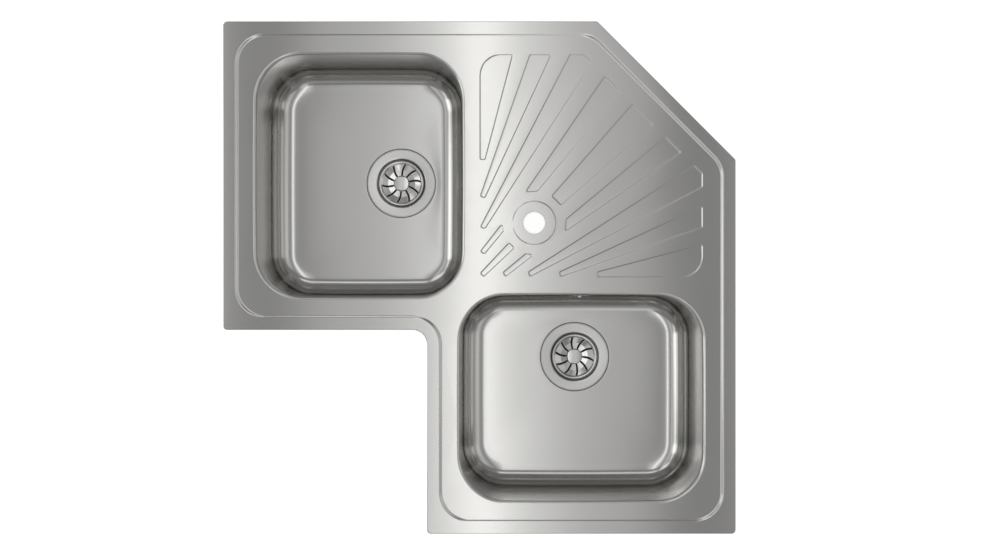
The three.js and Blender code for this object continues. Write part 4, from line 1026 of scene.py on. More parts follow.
for arm in ARMS:
    body = f"stopper_{arm}"
    seated("basket_button", arm, button(), POLISHED, body)
    seated("basket_stem", arm, lathe(stem_profile, 48).mesh("stem"), ZINC, body)
    seated("basket_stopper", arm, lathe(stopper_profile).mesh("stopper"), RUBBER, body)
print("stem and stopper profiles:", len(stem_profile), len(stopper_profile))

# %% [markdown]
# ## Seals, and a helper for soft edges
#
# Seals, housings and screws are turned from polygons. Nothing moulded or cut has a truly sharp
# edge, so `softened` rounds every corner of such a profile as far as its sides leave room.


# %% Soft profiles and seals
MOST_OF_A_SIDE = 0.45


def softened(corners, radius, steps=3):
    """A closed profile with its corners rounded, except those on the axis."""

    def radius_at(turn, i):
        corner, after = corners[i], corners[(i + 1) % len(corners)]
        room = min(math.dist(corners[i - 1], corner), math.dist(corner, after))
        most = MOST_OF_A_SIDE * room / max(math.tan(abs(turn) / 2), 0.01)
        return 0.0 if corner[0] == 0 else min(radius, most)

    return rounded(corners, radius_at, steps)


def soft_lathe(name, corners, radius, count=64):
    return lathe(softened(corners, radius), count, closed=True).mesh(name)


def ring(name, inner, outer, under, top):
    corners = [(inner, under), (outer, under), (outer, top), (inner, top)]
    return soft_lathe(name, corners, 0.3 * (top - under))


SEAL_INNER = WASTE_HOLE_RADIUS + 1
for arm in ARMS:
    seal = ring("seal", SEAL_INNER, FLANGE - 3, 0.3, 1.1)
    seated("waste_seal", arm, seal, RUBBER, "sink")
    gasket = ring("gasket", SEAL_INNER, RECESS_RADIUS - 5, -3.2, -1.2)
    seated("waste_gasket", arm, gasket, RUBBER, "sink")
print("seal rings, mm:", SEAL_INNER, "to", FLANGE - 3)

# %% [markdown]
# ## Screw threads
#
# A thread is a small rhombus that runs up a helix. Geometry Nodes have a spiral and a sweep for
# that. The curve's normals are kept upright, because otherwise the rhombus would turn slowly on
# its way. The thread then sinks half into its shank, and nothing else has to be cut.


# %% Thread recipe
def thread_recipe():
    recipe = Recipe("thread", Turns=8.0, Radius=0.02, Pitch=0.002, Depth=0.001, Facets=24)
    given = recipe.given
    sockets = {
        "Resolution": given["Facets"],
        "Rotations": given["Turns"],
        "Start Radius": given["Radius"],
        "End Radius": given["Radius"],
        "Height": given["Turns"] * given["Pitch"],
    }
    helix = recipe.node("GeometryNodeCurveSpiral", None, sockets)
    upright = recipe.node("GeometryNodeSetCurveNormal", {"mode": "Z_UP"}, {"Curve": helix})
    half = given["Pitch"] * 0.45
    sides = {"Width": given["Depth"] * 2, "Bottom Height": half, "Top Height": half}
    tooth = recipe.node("GeometryNodeCurvePrimitiveQuadrilateral", {"mode": "KITE"}, sides)
    sweep = {"Curve": upright, "Profile Curve": tooth, "Fill Caps": True}
    recipe.end(recipe.node("GeometryNodeCurveToMesh", None, sweep))
    return recipe


THREAD = thread_recipe()


def thread(name, finish, turns, radius, pitch, depth, start, facets=24):
    """A thread of `turns` turns whose crest reaches `radius`, from the height `start` up."""
    sizes = {"Radius": (radius - depth) * MM, "Pitch": pitch * MM, "Depth": depth * MM}
    empty = bpy.data.meshes.new(name)
    mesh = THREAD.make(name, empty, finish, Turns=turns, Facets=facets, **sizes)
    mesh.transform(Matrix.Translation((0, 0, start * MM)))
    return mesh


def together(name, meshes):
    """One mesh from several."""
    edit = bmesh.new()
    for mesh in meshes:
        edit.from_mesh(mesh)
    whole = bpy.data.meshes.new(name)
    edit.to_mesh(whole)
    edit.free()
    return whole


print("thread faces of one turn:", 24 * 4)

# %% [markdown]
# ## The waste bodies
#
# Under each bowl sits a moulded cup that leads into a threaded outlet. Gussets stiffen its
# flange all round, and a cross inside holds the screw that pulls the two halves of the waste
# together. The right one also has a spigot with barbs for the overflow's hose.

# %% Waste bodies
BODY_TOP, BODY_RIM, BODY_NECK, OUTLET_TOP, OUTLET_END = -3.5, 55, 43.4, -49.5, -77.5
OUTLET, BORE, OUTLET_PITCH = 23.9, 20.4, 2.3
BODY_INSIDE = [(BODY_NECK, BODY_TOP), (42.9, -13.5), (40.9, -32), (34.4, -41), (BORE, -48.5)]
BODY_OUTLET = [(BORE, OUTLET_END), (OUTLET - 1, OUTLET_END), (OUTLET - 1, OUTLET_TOP)]
BODY_OUTSIDE = [(35.9, -43.5), (43.4, -33), (45.4, -13.5), (52, -9.5)]
BODY_CORNERS = BODY_INSIDE + BODY_OUTLET + BODY_OUTSIDE + [(BODY_RIM, -8), (BODY_RIM, BODY_TOP)]
GUSSET = [(44.2, -9), (53, -9), (51.5, -12), (46, -28), (42, -34)]
GUSSETS, GUSSET_WALL, ARM_COUNT, ARM_WALL = 12, 1.8, 4, 2.4
SPIDER_TOP, SPIDER_UNDER, HUB, HUB_BORE = -36.2, -46.2, 7, 3.2
SPIGOT_HEIGHT, SPIGOT_FACE, SPIGOT_OUTER, SPIGOT_BORE = BODY_TOP - 18, 81.7, 9.1, 7.3


def slab(name, corners, low, high, roll=0.4, holes=()):
    """A flat plate with softened edges, from its (x, y) corners."""
    sheet = Sheet()
    rows = [(roll, low), (roll * 0.3, low + roll * 0.3), (0, low + roll)]
    rows += [(d, high + low - z) for d, z in reversed(rows)]
    loops = [sheet.loop(inset(corners, d), z) for d, z in rows]
    sheet.strips(loops)
    rims = []
    for hole in holes:
        rims.append([sheet.loop(hole, z) for z in (low, high)])
        sheet.strips(rims[-1])
    sheet.fill(loops[0], [rim[0] for rim in rims])
    sheet.fill(loops[-1], [rim[1] for rim in rims])
    return sheet.mesh(name)


def plate(name, corners, thickness, roll=0.4):
    """A slab that stands in the XZ plane."""
    mesh = slab(name, corners, -thickness / 2, thickness / 2, roll)
    mesh.transform(Matrix.Rotation(math.pi / 2, 4, "X"))
    return mesh


def round_bar(name, profile, count=32):
    """Turns (radius, distance) pairs about the X axis."""
    mesh = lathe(profile, count, closed=True).mesh(name)
    mesh.transform(Matrix.Rotation(math.pi / 2, 4, "Y"))
    return mesh


def barbed(start, end, outer, bore, barbs=3):
    """The profile of a hose spigot, with barbs towards its end."""
    step = (end - start) * 0.2
    teeth = []
    for k in range(barbs):
        at = end - step * (barbs - k)
        teeth += [(outer, at), (outer - 0.5, at + step * 0.9)]
    return [(bore, start), (outer - 0.5, start), *teeth, (outer - 0.9, end), (bore, end)]


def waste_body(has_spigot):
    shell = soft_lathe("shell", BODY_CORNERS, 1.5, 96)
    gusset = plate("gusset", list(reversed(GUSSET)), GUSSET_WALL)
    gussets = ROUND_THE_AXIS.make("gussets", gusset, PLASTIC, Count=GUSSETS)
    arm = [(4, SPIDER_UNDER), (33, SPIDER_UNDER), (40, SPIDER_TOP), (4, SPIDER_TOP)]
    cross = ROUND_THE_AXIS.make("cross", plate("arm", arm, ARM_WALL), PLASTIC, Count=ARM_COUNT)
    low, high = SPIDER_UNDER - 1, SPIDER_TOP + 1
    hub = [(HUB_BORE, low), (HUB, low), (HUB, high), (HUB_BORE, high)]
    ridge = thread("outlet thread", PLASTIC, 8.5, OUTLET, OUTLET_PITCH, 1, OUTLET_END + 1.6, 48)
    meshes = [shell, gussets, cross, soft_lathe("hub", hub, 0.5, 32), ridge]
    if has_spigot:
        spigot = round_bar("spigot", barbed(BODY_NECK - 1, SPIGOT_FACE, SPIGOT_OUTER, SPIGOT_BORE))
        spigot.transform(Matrix.Translation((0, 0, SPIGOT_HEIGHT * MM)))
        meshes.append(spigot)
    return together("waste body", meshes)


for arm in ARMS:
    body = seated("waste_body", arm, waste_body(arm == "right"), PLASTIC, "sink")
print("waste body faces:", len(body.data.polygons))

# %% [markdown]
# ## Slotted screws
#
# The screws of the wastes and of the overflow are turned like the stems, but their heads have
# a slot for a driver. The head's top is a flat fill with a rectangle left out of it, and the
# rectangle continues downwards as a small box. A thread covers the lower part of the shank.


# %% Slotted screws
def slotted_screw(name, side, slot, depth, thread_end, finish):
    """`side` runs from the shank's end to the edge of the head's flat top."""
    sheet = Sheet()
    loops = [sheet.loop(circle(radius, 40), z) for radius, z in side]
    sheet.strips(loops)
    sheet.fill(loops[0])
    top = side[-1][1]
    rows = [sheet.loop(box_corners(slot[0] / 2, slot[1] / 2), z) for z in (top, top - depth)]
    sheet.strips(rows)
    sheet.fill(rows[-1])
    sheet.fill(loops[-1], [rows[0]])
    shank, start = side[1]
    ridge = thread(name, finish, float(thread_end - start), shank + 0.25, 1, 0.35, start, 16)
    return together(name, [sound(sheet.mesh(name)), ridge])


WASTE_SCREW = [
    (2.2, -48.2), (2.75, -47.4), (2.75, -22.2), (6.2, -22.2), *bend(0.4, 6.1, -21.8, -60, 0, 3),
    *bend(1.6, 4.9, -20.8, 0, 90, 5),
]
for arm in ARMS:
    screw = slotted_screw("waste screw", WASTE_SCREW, (8, 1.4), 1.2, -34, ZINC)
    seated("waste_screw", arm, screw, ZINC, "sink")
print("screw head's flat, mm:", 2 * WASTE_SCREW[-1][0])

# %% [markdown]
# ## The overflow
#
# High in the wall of the right bowl, a perforated rose covers the overflow. Its screw goes
# through the wall into a moulded housing, whose spigot points down to the hose. All of them
# are turned about Z and then laid on their side, so that their +Z looks into the bowl.

# %% Rose, screw, gasket and housing
OVERFLOW_X = (REACH / 2 - wall_inset(OVERFLOW_Z)) * (1 + 2 * BOW / REACH)
ROSE, ROSE_WALL, ROSE_HOLES, ROSE_HOLE_REACH, ROSE_HOLE_WIDTH = 19, 1.2, 8, 9.24, 4.8
ROSE_BACK, GASKET_FRONT = 0.74, -1.64
HOUSING_BACK, HOUSING_FRONT, HOUSING, SPIGOT_CENTRE = -20.94, -3.94, 21, -13.44
HOUSING_CORNERS = [
    (0, HOUSING_BACK), (18, HOUSING_BACK), (18, -6.44), (HOUSING, -6.44), (HOUSING, HOUSING_FRONT),
    (OVERFLOW_HOLE_RADIUS, HOUSING_FRONT), (OVERFLOW_HOLE_RADIUS, -18.94), (4.5, -18.94),
    (4.5, -10.94), (2.5, -10.94), (2.5, -19.94), (0, -19.94),
]
SCREW_UNDER = ROSE_BACK + ROSE_WALL + 0.3
OVERFLOW_SCREW = [
    (1.6, -17.9), (1.95, -17.2), (1.95, SCREW_UNDER), (3.7, SCREW_UNDER),
    *bend(0.3, 3.7, SCREW_UNDER + 0.3, -60, 0, 2), *bend(1.1, 2.9, SCREW_UNDER + 1.3, 0, 90, 5),
]


def laid(name, mesh, finish, wall=0.0):
    """Lays a turned mesh into the right bowl's wall as the piece for the solid `name`."""
    mesh = sound(mesh, bool(wall))
    in_wall = at_waste("right", OVERFLOW_X, OVERFLOW_Z)
    mesh.transform(in_wall @ Matrix.Rotation(-math.pi / 2, 4, "Y"))
    stands_for(finished(f"{name}_piece", mesh, finish, wall), [name])


rose_hole = (ROSE_HOLE_REACH, ROSE_HOLE_REACH, ROSE_HOLE_WIDTH)
face = [(r, ROSE_BACK + ROSE_WALL) for r in (2.5, 4.5, *row_radii(*rose_hole), 13.5, 16.5)]
rolled = bend(1.1, ROSE - 1.1, ROSE_BACK + ROSE_WALL - 1.1, 80, 0, 5)
rose = perforated("rose", face + rolled, rose_hole, ROSE_HOLES, 7, POLISHED)
laid("overflow_rose", rose, POLISHED, ROSE_WALL - 0.1)

gasket = ring("gasket", OVERFLOW_HOLE_RADIUS + 0.5, HOUSING, GASKET_FRONT - 2, GASKET_FRONT)
laid("overflow_gasket", gasket, RUBBER)
screw = slotted_screw("overflow screw", OVERFLOW_SCREW, (5, 1), 0.9, -8, POLISHED)
laid("overflow_screw", screw, POLISHED)

spout = round_bar("spout", barbed(15, 36, SPIGOT_OUTER, SPIGOT_BORE))
spout.transform(Matrix.Translation((0, 0, SPIGOT_CENTRE * MM)) @ Matrix.Rotation(math.pi, 4, "Z"))
housing = together("housing", [soft_lathe("cup", HOUSING_CORNERS, 0.8), spout])
laid("overflow_housing", housing, PLASTIC)
print("overflow, mm from the bowl's middle:", round(OVERFLOW_X, 1))

# %% [markdown]
# ## The ribbed hose
#
# A hose of this kind bends because it is corrugated. Its ribs are a sine wave in the radius of
# a swept tube, faded out at both ends, where the hose is plain to grip its spigots. The path
# is the one of the solid: straight down behind the bowl, a quarter turn, and in to the waste.


# %% Hose
def hose_recipe():
    recipe = Recipe("ribbed hose", Radius=0.01, Rib=0.03, Pitch=0.004, Cuff=0.07)
    given = recipe.given
    curve = recipe.node("GeometryNodeMeshToCurve", None, {0: given["Geometry"]})
    step = {"Curve": curve, "Length": given["Pitch"] / 6}
    curve = recipe.node("GeometryNodeResampleCurve", {"mode": "LENGTH"}, step)
    factor = recipe.node("GeometryNodeSplineParameter", output="Factor")
    length = recipe.node("GeometryNodeSplineParameter", output="Length")

    def fade(value):
        limits = {"Value": value, "From Min": given["Cuff"] * 0.8, "From Max": given["Cuff"]}
        return recipe.node("ShaderNodeMapRange", None, limits)

    wave = (length / given["Pitch"] * (2 * math.pi)).sine()
    scale = 1 + wave * given["Rib"] * fade(factor) * fade(1 - factor)
    tube = {"Resolution": 32, "Radius": given["Radius"]}
    section = recipe.node("GeometryNodeCurvePrimitiveCircle", None, tube)
    sweep = {"Curve": curve, "Profile Curve": section, "Scale": scale}
    recipe.end(recipe.node("GeometryNodeCurveToMesh", None, sweep))
    return recipe


def path_mesh(name, points, closed=False):
    """A polyline in millimetres as a mesh of edges, in metres."""
    mesh = bpy.data.meshes.new(name)
    count = len(points)
    edges = [(k, (k + 1) % count) for k in range(count if closed else count - 1)]
    mesh.from_pydata([tuple(v * MM for v in point) for point in points], edges, [])
    return mesh


HOSE_RADIUS, HOSE_WALL, HOSE_BEND, HOSE_TOP, HOSE_END = 11, 1.4, 42, -60, 69.7
spigot_z = RECESS + SPIGOT_HEIGHT
hose_x = SPIGOT_FACE + HOSE_BEND
turn_in = bend(HOSE_BEND, hose_x - HOSE_BEND, spigot_z + HOSE_BEND, 0, -90, 24)
hose_path = [(hose_x, HOSE_TOP), *turn_in, (HOSE_END, spigot_z)]
points = path_mesh("hose path", [(x, 0, z) for x, z in hose_path])
mesh = hose_recipe().make("hose", points, HOSE, Radius=(HOSE_RADIUS - 0.35) * MM)
mesh.transform(at_waste("right", height=0))
hose = finished("overflow_hose_piece", sound(mesh), HOSE, HOSE_WALL)
stands_for(hose, ["overflow_hose"])
print("hose faces:", len(hose.data.polygons))

# %% [markdown]
# ## Foam strip and rails
#
# Both follow the outline: the foam strip runs all round under the border, and seven short
# channels lie inside it. A section swept along a path gives either, and the section is just
# another small mesh that the recipe is handed as an object.


# %% Strip and rails
def sweep_recipe():
    recipe = Recipe("sweep", Section=None)
    path = recipe.node("GeometryNodeMeshToCurve", None, {0: recipe.given["Geometry"]})
    path = recipe.node("GeometryNodeSetCurveNormal", {"mode": "Z_UP"}, {"Curve": path})
    handed = {"Object": recipe.given["Section"]}
    edges = recipe.node("GeometryNodeObjectInfo", None, handed, "Geometry")
    section = recipe.node("GeometryNodeMeshToCurve", None, {0: edges})
    sockets = {"Curve": path, "Profile Curve": section, "Fill Caps": True}
    recipe.end(recipe.node("GeometryNodeCurveToMesh", None, sockets))
    return recipe


SWEEP = sweep_recipe()


def swept(name, path, section, finish, closed=False):
    """Sweeps a section of (side, height) pairs along a path. The sweep looks down its path."""
    outline = path_mesh(name, [(x, -z, 0) for x, z in section], closed=True)
    holder = bpy.data.objects.new(name, outline)
    bpy.context.collection.objects.link(holder)
    mesh = SWEEP.make(name, path_mesh(name, path, closed), finish, Section=holder)
    bpy.data.objects.remove(holder)
    return mesh


SEAL_MARGIN, SEAL_WIDTH, SEAL_THICKNESS = 3, 12, 1.8
half = SEAL_WIDTH / 2
corners = [(-half, 0), (half, 0), (half, SEAL_THICKNESS), (-half, SEAL_THICKNESS)]
seal_path = [(x, y, 0) for x, y in rim_loop(SHEET + SEAL_MARGIN + half)]
mesh = swept("rim seal", seal_path, softened(corners, 0.5), FOAM, closed=True)
rim_seal = stands_for(finished("rim_seal_strip", sound(mesh), FOAM), ["rim_seal"])

RAIL_INSET, RAIL_END, RAIL_TOP = 36, 78, -0.2
RAIL_HALF, RAIL_DEPTH, RAIL_WALL, RAIL_SLOT_HALF = 8, 7, 1, 4
RAIL_LEFT = [
    (-RAIL_HALF, -RAIL_DEPTH),
    (-RAIL_SLOT_HALF, -RAIL_DEPTH),
    (-RAIL_SLOT_HALF, RAIL_WALL - RAIL_DEPTH),
    (RAIL_WALL - RAIL_HALF, RAIL_WALL - RAIL_DEPTH),
    (RAIL_WALL - RAIL_HALF, -RAIL_WALL),
]
RAIL_RIGHT = [(-x, z) for x, z in reversed(RAIL_LEFT)]
RAIL_SECTION = RAIL_LEFT + RAIL_RIGHT + [(RAIL_HALF, 0), (-RAIL_HALF, 0)]
for i, corner in enumerate(OUTLINE):
    after = OUTLINE[(i + 1) % len(OUTLINE)]
    along = heading(corner, after)
    inward = Vector((-along.y, along.x)) * RAIL_INSET
    ends = [Vector(corner) + along * RAIL_END + inward, Vector(after) - along * RAIL_END + inward]
    path = [(end.x, end.y, RAIL_TOP) for end in ends]
    mesh = swept("rail", path, softened(RAIL_SECTION, 0.5, 2), ZINC)
    stands_for(finished(f"rail_piece_{i + 1}", sound(mesh), ZINC), [f"rail_{i + 1}"])
print("strip faces:", len(rim_seal.data.polygons), "rails:", len(OUTLINE))

# %% [markdown]
# ## Clips
#
# Nine bolts hang with their square heads in the rails, each with a claw that can swing out
# under the worktop. A bolt is made once, and Geometry Nodes set a copy at each of the nine
# places, turned as the claw beside it. The claws move one by one, so each is a piece of its
# own: a strip cut flat, with a toothed end, a round tail and a hole, and then bent upwards.


# %% Bolts
def copies_recipe():
    recipe = Recipe("copies", Copy=None)
    turn = recipe.node("GeometryNodeInputNamedAttribute", {"data_type": "FLOAT"}, {"Name": "turn"})
    spin = recipe.node("ShaderNodeCombineXYZ", None, {"Z": turn})
    handed = {"Object": recipe.given["Copy"]}
    copy = recipe.node("GeometryNodeObjectInfo", None, handed, "Geometry")
    points = recipe.node("GeometryNodeMeshToPoints", None, {0: recipe.given["Geometry"]})
    sockets = {"Points": points, "Instance": copy, "Rotation": spin}
    recipe.end(recipe.node("GeometryNodeInstanceOnPoints", None, sockets))
    return recipe


def clip_places():
    """(x, y, angle) of each clip; the angle is the way its claw points."""
    places = []
    while f"clip_bolt_{len(places) + 1}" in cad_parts:
        number = len(places) + 1
        bolt = place_of(f"clip_bolt_{number}")
        away = place_of(f"clip_claw_{number}") - bolt
        places.append((bolt.x, bolt.y, math.atan2(away.y, away.x)))
    return places


CLIPS = clip_places()
BOLT_END, BOLT_HEAD, BOLT_HEAD_HALF, BOLT_HEAD_HEIGHT = -53.2, -5.9, 5.5, 3
BOLT_TIP, BOLT_CORE, BOLT_CREST, BOLT_PITCH, BOLT_TURNS = 1.7, 2.2, 2.5, 1, 44.0
in_head = BOLT_HEAD + 0.5
shank = [(0, BOLT_END), (BOLT_TIP, BOLT_END), (BOLT_CORE, BOLT_END + 0.8)]
shank += [(BOLT_CORE, in_head), (0, in_head)]
square = box_corners(BOLT_HEAD_HALF, BOLT_HEAD_HALF)
parts = [
    sound(lathe(shank, 20).mesh("shank")),
    sound(slab("head", square, BOLT_HEAD, BOLT_HEAD + BOLT_HEAD_HEIGHT)),
    thread("bolt thread", ZINC, BOLT_TURNS, BOLT_CREST, BOLT_PITCH, 0.45, BOLT_END + 1, 12),
]
bolt = bpy.data.objects.new("bolt", together("bolt", parts))
bpy.context.collection.objects.link(bolt)
places = path_mesh("clip places", [(x, y, 0) for x, y, _ in CLIPS])
turns = places.attributes.new("turn", "FLOAT", "POINT")
turns.data.foreach_set("value", [angle for _, _, angle in CLIPS])
mesh = copies_recipe().make("bolts", places, ZINC, Copy=bolt)
bpy.data.objects.remove(bolt)
bolts = finished("clip_bolts", mesh, ZINC)
stands_for(bolts, [f"clip_bolt_{i + 1}" for i in range(len(CLIPS))])
print("clips:", len(CLIPS), "bolt faces:", len(bolts.data.polygons))

# %% Claws
CLAW_WALL, CLAW_TOP, CLAW_TAIL, CLAW_HALF, CLAW_REACH, CLAW_TIP = 2, -37.2, 9, 7, 30, -28.2
CLAW_BEND, CLAW_HOLE, NUT, NUT_HEIGHT = 3, 2.8, 5, 4
CLAW_TAIL_ROUND, CLAW_TEETH, TOOTH = 6.5, 4, 2.6
BEND_START = CLAW_REACH - CLAW_WALL - CLAW_BEND
BEND_LENGTH = CLAW_BEND * math.pi / 2
FLAT_END = BEND_START + BEND_LENGTH + CLAW_TIP - CLAW_TOP - CLAW_BEND


def bent(s):
    """Where a distance along the flat strip comes to lie, as (x, height)."""
    if s <= BEND_START:
        return s, CLAW_TOP
    turn = min((s - BEND_START) / CLAW_BEND, math.pi / 2)
    rest = max(0.0, s - BEND_START - BEND_LENGTH)
    rise = CLAW_BEND * (1 - math.cos(turn)) + rest
    return BEND_START + CLAW_BEND * math.sin(turn), CLAW_TOP + rise


def claw_strip():
    sheet = Sheet()
    box = box_corners(CLAW_TAIL, CLAW_HALF)
    tail = rounded(box, lambda turn, i: CLAW_TAIL_ROUND if box[i][0] < 0 else 0.01, 8)
    tail = [point for point in tail if point[0] < 0]
    folds = [BEND_START + BEND_LENGTH * k / 6 for k in range(7)]
    shares = range(2 * CLAW_TEETH + 1)
    teeth = [
        (FLAT_END - (TOOTH if k % 2 else 0), CLAW_HALF * (k / CLAW_TEETH - 1)) for k in shares
    ]
    side = [(s, -CLAW_HALF) for s in folds]
    outline = tail + side + teeth + [(s, CLAW_HALF) for s in reversed(folds)]
    outer = sheet.loop(outline, 0)
    hole = sheet.loop(circle(CLAW_HOLE, 24), 0)
    inner = [sheet.loop([(s, y)], 0)[0] for s in folds for y in (-4.5, -1.5, 1.5, 4.5)]
    sheet.fill(outer, [hole], inner)
    sheet.points = [(bent(s)[0], y, bent(s)[1]) for s, y, _ in sheet.points]
    return sheet.mesh("strip")


def claw():
    strip = bpy.data.objects.new("strip", sound(claw_strip(), True))
    bpy.context.collection.objects.link(strip)
    wall = strip.modifiers.new("wall", "SOLIDIFY")
    wall.thickness, wall.offset, wall.use_even_offset = CLAW_WALL * MM, -1, True
    evaluated = strip.evaluated_get(bpy.context.evaluated_depsgraph_get())
    solid = bpy.data.meshes.new_from_object(evaluated)
    bpy.data.objects.remove(strip)
    high = CLAW_TOP - CLAW_WALL
    nut = slab("nut", circle(NUT, 6), high - NUT_HEIGHT, high, holes=[circle(CLAW_HOLE, 24)])
    return together("claw", [solid, sound(nut)])


claw_mesh = claw()
for i, (x, y, angle) in enumerate(CLIPS):
    mesh = claw_mesh.copy()
    mesh.transform(Matrix.Translation((x * MM, y * MM, 0)) @ Matrix.Rotation(angle, 4, "Z"))
    piece = finished(f"claw_piece_{i + 1}", mesh, ZINC)
    stands_for(piece, [f"clip_claw_{i + 1}"], f"claw_{i + 1}")
print("claw faces:", len(claw_mesh.polygons))

# %% [markdown]
# ## Sound-deadening pads
#
# A rolled bitumen sheet is glued under each bowl so that water doesn't drum. It is embossed
# with a grid of shallow squares; its corners are cut round.

# %% Pads
PAD_WIDTH, PAD_LENGTH, PAD_THICKNESS, PAD_ROUND, PAD_EDGE_ROUND = 100, 180, 3, 10, 0.8
PAD_TOP = FLOOR - SHEET - 0.3
PAD_UNDER = PAD_TOP - PAD_THICKNESS
PAD_EDGE = WASTE_OFFSET - RECESS_RADIUS - RECESS_DEPTH - 12
EMBOSS, EMBOSS_HALF, EMBOSS_ROUND, EMBOSS_DEPTH, EMBOSS_SLOPE = 20, 8, 3, 0.7, 1


def soft_box(sheet, half_x, half_y, corner, rows, steps, x=0.0, y=0.0):
    """Loops of a rounded rectangle about (x, y), one for each (distance, height) row."""
    box = [(x + u, y + v) for u, v in box_corners(half_x, half_y)]
    return [
        sheet.loop(rounded(inset(box, d), lambda turn, i: corner - d, steps), z) for d, z in rows
    ]


def pad():
    sheet = Sheet()
    middle = PAD_EDGE - PAD_WIDTH / 2
    edge = [(0, PAD_TOP), (0, PAD_UNDER + PAD_EDGE_ROUND), (PAD_EDGE_ROUND, PAD_UNDER)]
    loops = soft_box(sheet, PAD_WIDTH / 2, PAD_LENGTH / 2, PAD_ROUND, edge, 8)
    sheet.strips(loops)
    sheet.fill(loops[0])
    pressed = [(0, PAD_UNDER), (EMBOSS_SLOPE, PAD_UNDER + EMBOSS_DEPTH)]
    columns, rows = int(PAD_WIDTH / EMBOSS), int(PAD_LENGTH / EMBOSS)
    cells = []
    for i, j in [(i, j) for i in range(columns) for j in range(rows)]:
        if i in (0, columns - 1) and j in (0, rows - 1):
            continue
        x, y = EMBOSS * (i - columns / 2 + 0.5), EMBOSS * (j - rows / 2 + 0.5)
        cell = soft_box(sheet, EMBOSS_HALF, EMBOSS_HALF, EMBOSS_ROUND, pressed, 3, x, y)
        sheet.strips(cell)
        sheet.fill(cell[1])
        cells.append(cell[0])
    sheet.fill(loops[-1], cells)
    sheet.points = [(x + middle, y, z) for x, y, z in sheet.points]
    return sheet.mesh("pad")


for arm in ARMS:
    mesh = pad()
    mesh.transform(at_waste(arm, 0, 0))
    piece = finished(f"sound_pad_piece_{arm}", sound(mesh), BITUMEN)
    stands_for(piece, [f"sound_pad_{arm}"])
print("pad faces:", len(piece.data.polygons))

# %% [markdown]
# ## Lamps
#
# Steel has hardly any colour of its own: what is seen in it is the room. The photograph's deck
# is bright in one band from front to back and falls off to both sides, so a narrow strip lamp
# hangs over it inside three wider and dimmer softboxes. The lamps far out are seen only in
# what is steep. They are brighter to the left and behind than to the right and in front, so
# every pressed edge has a light side and a dark side. Each lamp is given by the brightness of
# its face, 1 being white, and its power follows from its area.

# %% Lamps
LAMP_HEIGHT, ROW_HALF, WALL_DISTANCE, WALL_LAMP_HEIGHT, WALL_LAMP = 2.4, 1.6, 3.3, 1.6, (1.45, 6)


def lamp(name, middle, size, brightness, aim=(0, 0, -1)):
    """A flat softbox in metres that shines along `aim`."""
    data = bpy.data.lights.new(name, "AREA")
    data.shape = "RECTANGLE"
    data.size, data.size_y = size
    data.energy = brightness * math.pi * size[0] * size[1]
    box = bpy.data.objects.new(name, data)
    bpy.context.collection.objects.link(box)
    box.location = middle
    box.rotation_euler = Vector(aim).to_track_quat("-Z", "Y").to_euler()
    box.visible_camera = False


def overhead(name, brightness, left, right, front=-ROW_HALF, back=ROW_HALF):
    middle = ((left + right) / 2, (front + back) / 2, LAMP_HEIGHT)
    lamp(name, middle, (right - left, back - front), brightness)


overhead("strip", 1.75, -0.08, 0.05)
overhead("narrow softbox", 0.65, -0.17, 0.13)
overhead("softbox", 0.62, -0.3, 0.27)
overhead("wide softbox", 0.35, -0.62, 0.58)
overhead("left near", 0.45, -1.4, -0.9)
overhead("left middle", 0.25, -2.3, -1.4)
overhead("left far", 0.85, -3.2, -2.3)
overhead("right near", 0.2, 0.85, 1.4)
overhead("right middle", 0.4, 1.4, 2.3)
overhead("right far", 0.25, 2.3, 3.2)
overhead("front near", 0.5, 0.0, 0.9, -2.6, -ROW_HALF)
overhead("front far", 0.2, -0.9, 0.9, -3.6, -2.6)
overhead("back far", 0.8, -0.9, 0.9, 2.6, 3.6)
overhead("back left", 0.9, -3.0, -1.2, 1.8, 3.4)
for side, brightness in ((-1, 0.8), (1, 0.15)):
    middle = (side * WALL_DISTANCE, 0, WALL_LAMP_HEIGHT)
    lamp(f"wall {side}", middle, WALL_LAMP, brightness, (-side, 0, 0))

# %% [markdown]
# ## Room and floor
#
# The room is dim above, which keeps the steel's middle greys, and white towards the horizon.
# The camera, and the metal where it mirrors that horizon, see plain white. The floor is pale
# and lit: it glows just enough to be white where the lamps reach it, so the sink's shadow
# stays. Mirrored in metal it glows less, because the lamps' share already makes it white.
# From below the camera looks through it.

# %% Room and floor
CEILING = 0.25

world = bpy.data.worlds.new("studio")
bpy.context.scene.world = world
world.use_nodes = True
room = Nodes(world.node_tree)


def ramp(value, low, high, start, end):
    """`start` up to `low`, `end` from `high` on, and a soft change between."""
    sockets = {"Value": value, "From Min": low, "From Max": high, "To Min": start, "To Max": end}
    return value.nodes.node("ShaderNodeMapRange", {"interpolation_type": "SMOOTHSTEP"}, sockets)


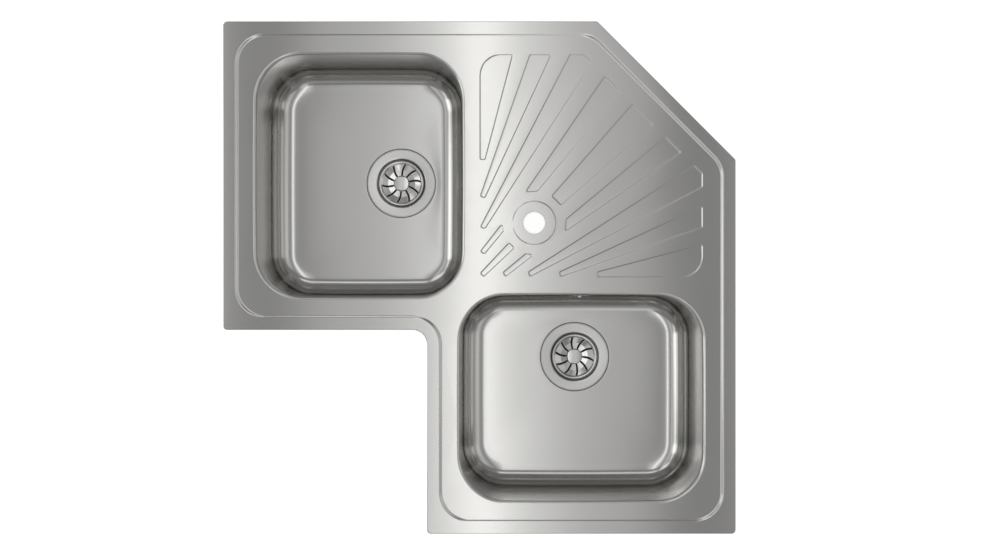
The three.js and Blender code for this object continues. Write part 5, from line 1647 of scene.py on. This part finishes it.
direction = room.node("ShaderNodeTexCoord", output="Generated")
height = room.node("ShaderNodeSeparateXYZ", None, {0: direction}, output="Z")
glow = ramp(height, 0.12, 0.35, 1.0, CEILING)
camera_ray = room.node("ShaderNodeLightPath", output="Is Camera Ray")
shade = camera_ray + (1 - camera_ray) * glow
room.plug(world.node_tree.nodes["Background"].inputs["Strength"], shade)
world.node_tree.nodes["Background"].inputs["Color"].default_value = (1, 1, 1, 1)
bpy.context.scene.view_settings.view_transform = "Standard"

FLOOR_HEIGHT, FLOOR_HALF, FLOOR_GLOW, LIT_SHARE = -0.262, 6, 0.75, 0.45
corners = [(x, y, FLOOR_HEIGHT) for x, y in box_corners(FLOOR_HALF, FLOOR_HALF)]
floor_mesh = bpy.data.meshes.new("floor")
floor_mesh.from_pydata(corners, [], [(0, 1, 2, 3)])
floor = bpy.data.objects.new("floor", floor_mesh)
bpy.context.collection.objects.link(floor)

pale = Finish("pale floor", Roughness=0.9)
pale.set(Base_Color=pale.between(pale.noise(3), (0.9, 0.9, 0.9), (0.87, 0.87, 0.87)))
away = pale.node("ShaderNodeVectorMath", {"operation": "LENGTH"}, {0: pale.place}, output="Value")
seen = pale.node("ShaderNodeLightPath", output="Is Camera Ray")
mirrored = pale.node("ShaderNodeLightPath", output="Is Glossy Ray")
strength = ramp(away, 0.9, 2.4, FLOOR_GLOW, 1.0) - mirrored * LIT_SHARE
light = pale.node("ShaderNodeEmission", None, {"Strength": strength})
through = pale.node("ShaderNodeLightPath", output="Is Transmission Ray")
nothing = pale.node("ShaderNodeEmission", None, {"Strength": 0.0})
sockets = {0: seen + mirrored + through, 1: nothing, 2: light}
own_light = pale.node("ShaderNodeMixShader", None, sockets)
base = Flow(pale, pale.surface.outputs[0])
lit = pale.node("ShaderNodeAddShader", None, {0: base, 1: own_light})
below = pale.node("ShaderNodeNewGeometry", output="Backfacing")
clear = pale.node("ShaderNodeBsdfTransparent")
whole = pale.node("ShaderNodeMixShader", None, {0: below, 1: lit, 2: clear})
pale.plug(pale.tree.nodes["Material Output"].inputs["Surface"], whole)
floor_mesh.materials.append(pale.material)
print("floor at", FLOOR_HEIGHT, "m")
